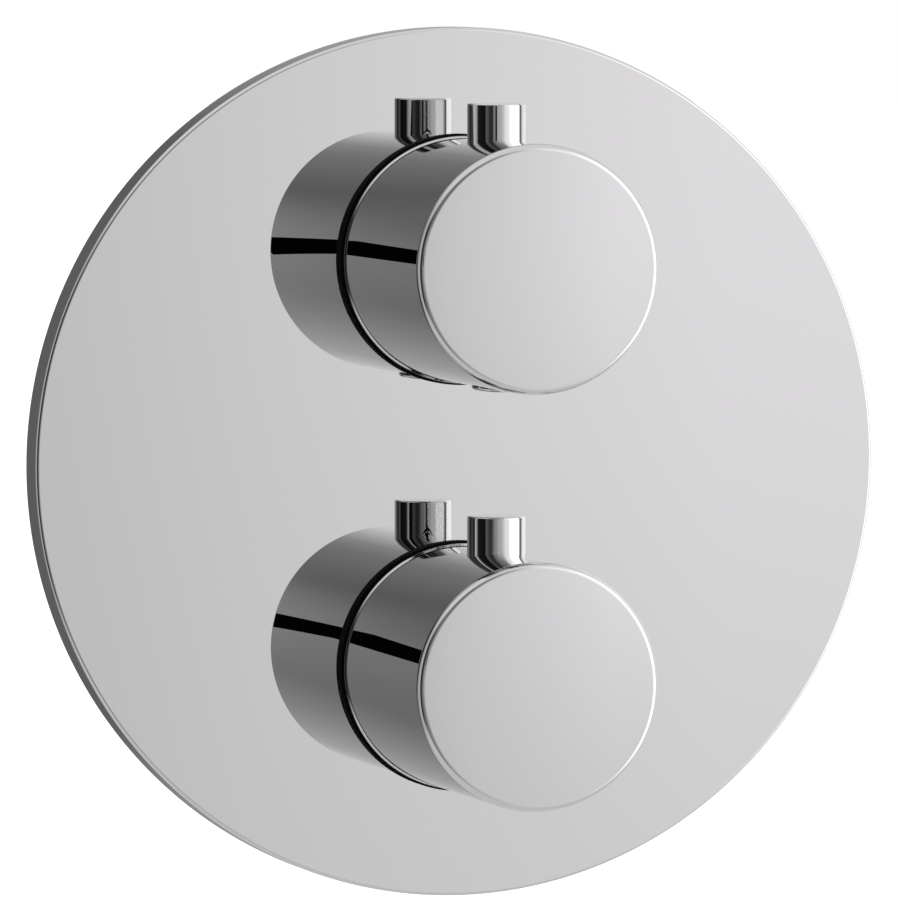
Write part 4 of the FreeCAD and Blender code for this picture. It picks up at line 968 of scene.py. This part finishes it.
@dataclass
class Studio:
    """Camera, floor and the tent whose cloths show in the chrome."""

    # The camera that took the photograph, in degrees, metres, pixels and millimetres of sensor.
    yaw: float = 16.044
    elevation: float = 3.361
    distance: float = 1.88737
    image_width: int = 898
    image_height: int = 922
    focal_pixels: float = 9621.26
    centre_x: float = 447.907
    centre_y: float = 460.271
    sensor: float = 36.0

    # The camera's black front, whose right end slants down.
    flag_tone: str = "#050505"
    flag_y: float = -1.376
    flag_left: float = -0.5
    flag_corner: float = -0.405
    flag_right: float = -0.34
    flag_drop: float = 0.058
    flag_bottom: float = 0.027
    flag_top: float = 0.127

    # The front wall, and the heights where the middle row ends and the next row is alone.
    wall_y: float = -2.2
    wall_half_width: float = 1.75
    wall_half_height: float = 1.4
    wall_fade: float = 0.25
    top_row: tuple[float, float] = (0.08, 0.55)
    bottom_row: tuple[float, float] = (0.05, -0.5)

    # The rest of the tent. The ceiling and the table set in over sines of the angle of elevation.
    ceiling: tuple[float, float] = (0.35, 0.8)
    ceiling_tone: float = 0.45
    table: tuple[float, float] = (-0.3, -0.6)
    table_tone: float = 0.36
    glow: float = 2.0
    cast: tuple[float, float, float] = (1.0, 0.979, 1.0)

    # The paper floor, lifted towards white where the camera sees it.
    paper: str = "#E6E5E6"
    paper_lift: float = 0.7
    floor_z: float = -0.2
    floor_half: float = 12.0

    def make_camera(self) -> None:
        """Stand the camera where the photograph was taken from."""
        turn, rise = math.radians(self.yaw), math.radians(self.elevation)
        back = Vector((-math.sin(turn) * math.cos(rise), -math.cos(turn) * math.cos(rise), math.sin(rise)))
        right = Vector((math.cos(turn), -math.sin(turn), 0.0))
        data = bpy.data.cameras.new("camera")
        data.sensor_width = self.sensor
        data.lens = self.focal_pixels * self.sensor / self.image_height
        data.shift_x = (self.image_width / 2 - self.centre_x) / self.image_height
        data.shift_y = (self.centre_y - self.image_height / 2) / self.image_height
        camera = bpy.data.objects.new("camera", data)
        camera.matrix_world = Matrix((right, back.cross(right), back)).transposed().to_4x4()
        camera.location = back * self.distance
        bpy.context.scene.collection.objects.link(camera)
        bpy.context.scene.camera = camera

    def put(self, name: str, shape: bmesh.types.BMesh, material: bpy.types.Material) -> None:
        """Put something in the studio that is no part of the object.

        Args:
            name: Its name.
            shape: Its shape, which is let go of.
            material: What it glows, hides or catches light with.
        """
        piece = as_object(name, shape)
        piece.data.materials.append(material)

    def put_card(self, name: str, y: float, outline: Pairs, material: bpy.types.Material) -> None:
        """Stand an upright card that faces the object.

        Args:
            name: The card's name.
            y: Its Y.
            outline: X and Z of its corners, in order.
            material: What it glows or hides with.
        """
        card = bmesh.new()
        card.faces.new([card.verts.new((x, y, z)) for x, z in outline])
        self.put(name, card, material)

    def hidden_from_camera(
        self, tree: bpy.types.NodeTree, shader: bpy.types.NodeSocket
    ) -> bpy.types.NodeSocket:
        """Let camera rays and shadow rays pass through a shader.

        Args:
            tree: The card's node tree.
            shader: What other rays meet.

        Returns:
            The shader for the output.
        """
        ray = add_node(tree, "ShaderNodeLightPath")
        skip = add_node(
            tree,
            "ShaderNodeMath",
            {0: ray.outputs["Is Camera Ray"], 1: ray.outputs["Is Shadow Ray"]},
            operation="MAXIMUM",
        )
        clear = add_node(tree, "ShaderNodeBsdfTransparent")
        seen = add_node(tree, "ShaderNodeMixShader", {0: skip.outputs[0], 1: shader, 2: clear.outputs[0]})
        return seen.outputs[0]

    def edge_fade(
        self, tree: bpy.types.NodeTree, along: bpy.types.NodeSocket, half: float
    ) -> bpy.types.NodeSocket:
        """Fall from one to nothing near a card's edge.

        Args:
            tree: The card's node tree.
            along: The coordinate across that edge.
            half: Where the edge is.

        Returns:
            The fade.
        """
        away = add_node(tree, "ShaderNodeMath", {0: along}, operation="ABSOLUTE")
        return add_node(
            tree,
            "ShaderNodeMapRange",
            {0: away.outputs[0], 1: half - self.wall_fade, 2: half, 3: 1.0, 4: 0.0},
            interpolation_type="SMOOTHSTEP",
        ).outputs[0]

    def grey_ramp(
        self, tree: bpy.types.NodeTree, along: bpy.types.NodeSocket, stops: Pairs
    ) -> bpy.types.NodeSocket:
        """Turn a coordinate into a radiance.

        Args:
            tree: The node tree.
            along: The coordinate.
            stops: Coordinates, rising, each with its radiance.

        Returns:
            The radiance, divided by the glow.
        """
        low, high = stops[0][0], stops[-1][0]
        spread = add_node(tree, "ShaderNodeMapRange", {0: along, 1: low, 2: high})
        ramp = add_node(tree, "ShaderNodeValToRGB", {0: spread.outputs[0]})
        tones = []
        for at, value in stops:
            red, green, blue = (share * value / self.glow for share in self.cast)
            tones.append(((at - low) / (high - low), (red, green, blue, 1.0)))
        fill_ramp(ramp, tones)
        return ramp.outputs[0]

    def make_front_wall(self) -> None:
        """Stand the tent's front wall behind the camera, with its tones from dark left to bright right."""
        material = bpy.data.materials.new("tent_front_wall")
        tree = blank_tree(material)
        place = add_node(tree, "ShaderNodeTexCoord").outputs["Object"]
        split = add_node(tree, "ShaderNodeSeparateXYZ", {0: place})
        tone = self.grey_ramp(tree, split.outputs["X"], WallRow.MIDDLE.value)
        for row, (start, end) in ((WallRow.TOP, self.top_row), (WallRow.BOTTOM, self.bottom_row)):
            share = add_node(
                tree,
                "ShaderNodeMapRange",
                {0: split.outputs["Z"], 1: start, 2: end},
                interpolation_type="SMOOTHSTEP",
            )
            tones = self.grey_ramp(tree, split.outputs["X"], row.value)
            mix = add_node(tree, "ShaderNodeMix", {0: share.outputs[0], 6: tone, 7: tones}, data_type="RGBA")
            tone = mix.outputs[2]
        shine = add_node(tree, "ShaderNodeEmission", {"Color": tone, "Strength": self.glow})
        across = self.edge_fade(tree, split.outputs["X"], self.wall_half_width)
        upward = self.edge_fade(tree, split.outputs["Z"], self.wall_half_height)
        fade = add_node(tree, "ShaderNodeMath", {0: across, 1: upward}, operation="MULTIPLY")
        clear = add_node(tree, "ShaderNodeBsdfTransparent")
        wall = add_node(
            tree, "ShaderNodeMixShader", {0: fade.outputs[0], 1: clear.outputs[0], 2: shine.outputs[0]}
        )
        add_node(tree, "ShaderNodeOutputMaterial", {0: self.hidden_from_camera(tree, wall.outputs[0])})
        x, z = self.wall_half_width, self.wall_half_height
        self.put_card("tent_front_wall", self.wall_y, ((-x, -z), (-x, z), (x, z), (x, -z)), material)

    def make_camera_front(self) -> None:
        """Stand the black front of the camera, which the knobs' sides show as a dark band."""
        material = bpy.data.materials.new("camera_front")
        tree = blank_tree(material)
        black = add_node(tree, "ShaderNodeEmission", {"Color": linear(self.flag_tone), "Strength": 1.0})
        add_node(tree, "ShaderNodeOutputMaterial", {0: self.hidden_from_camera(tree, black.outputs[0])})
        left, corner, right = self.flag_left, self.flag_corner, self.flag_right
        low, high, drop = self.flag_bottom, self.flag_top, self.flag_drop
        top = ((left, high), (corner, high), (right, high - drop))
        bottom = ((right, low - drop), (corner, low), (left, low))
        self.put_card("camera_front", self.flag_y, top + bottom, material)

    def make_world(self) -> None:
        """Set the rest of the tent: a horizon by bearing, a soft ceiling and a pale table."""
        world = bpy.data.worlds.new("tent")
        bpy.context.scene.world = world
        tree = blank_tree(world)
        towards = add_node(tree, "ShaderNodeTexCoord").outputs["Generated"]
        split = add_node(tree, "ShaderNodeSeparateXYZ", {0: towards})
        ahead = add_node(tree, "ShaderNodeMath", {0: split.outputs["Y"], 1: -1.0}, operation="MULTIPLY")
        bearing = add_node(
            tree, "ShaderNodeMath", {0: split.outputs["X"], 1: ahead.outputs[0]}, operation="ARCTAN2"
        )
        degrees = add_node(tree, "ShaderNodeMath", {0: bearing.outputs[0]}, operation="DEGREES")
        stops = tuple(stop for panel in TentPanel for stop in panel.stops())
        tone = self.grey_ramp(tree, degrees.outputs[0], stops)
        for (start, end), light in ((self.ceiling, self.ceiling_tone), (self.table, self.table_tone)):
            share = add_node(
                tree,
                "ShaderNodeMapRange",
                {0: split.outputs["Z"], 1: start, 2: end},
                interpolation_type="SMOOTHSTEP",
            )
            plain = (light, light, light, 1.0)
            mix = add_node(tree, "ShaderNodeMix", {0: share.outputs[0], 6: tone, 7: plain}, data_type="RGBA")
            tone = mix.outputs[2]
        tent = add_node(tree, "ShaderNodeBackground", {"Color": tone, "Strength": self.glow})
        paper = add_node(tree, "ShaderNodeBackground", {"Color": WHITE, "Strength": 1.0})
        ray = add_node(tree, "ShaderNodeLightPath")
        seen = add_node(
            tree,
            "ShaderNodeMixShader",
            {0: ray.outputs["Is Camera Ray"], 1: tent.outputs[0], 2: paper.outputs[0]},
        )
        add_node(tree, "ShaderNodeOutputWorld", {0: seen.outputs[0]})

    def make_floor(self) -> None:
        """Lay the pale floor, which the camera sees as white paper with the object's soft shadow."""
        material = bpy.data.materials.new("white_paper_floor")
        tree = blank_tree(material)
        ray = add_node(tree, "ShaderNodeLightPath")
        paper = add_node(tree, "ShaderNodeBsdfDiffuse", {"Color": linear(self.paper)})
        lift = add_node(tree, "ShaderNodeEmission", {"Color": WHITE, "Strength": self.paper_lift})
        lit = add_node(tree, "ShaderNodeAddShader", {0: paper.outputs[0], 1: lift.outputs[0]})
        seen = add_node(
            tree,
            "ShaderNodeMixShader",
            {0: ray.outputs["Is Camera Ray"], 1: paper.outputs[0], 2: lit.outputs[0]},
        )
        clear = add_node(tree, "ShaderNodeBsdfTransparent")
        mirrored = add_node(
            tree,
            "ShaderNodeMixShader",
            {0: ray.outputs["Is Glossy Ray"], 1: seen.outputs[0], 2: clear.outputs[0]},
        )
        add_node(tree, "ShaderNodeOutputMaterial", {0: mirrored.outputs[0]})
        floor = bmesh.new()
        bmesh.ops.create_grid(floor, x_segments=1, y_segments=1, size=self.floor_half)
        bmesh.ops.translate(floor, verts=floor.verts, vec=(0.0, 0.0, self.floor_z))
        self.put("floor", floor, material)

    def build(self) -> None:
        """Set up the whole studio."""
        self.make_camera()
        self.make_world()
        self.make_front_wall()
        self.make_camera_front()
        self.make_floor()
        bpy.context.scene.view_settings.view_transform = "Standard"


def main() -> None:
    """Build the studio, dress the valve and add its details."""
    logging.basicConfig(level=logging.INFO, format="%(name)s: %(message)s")
    Studio().build()
    dresser = Dresser()
    dresser.dress()
    dresser.build_details()


if __name__ == "__main__":
    main()
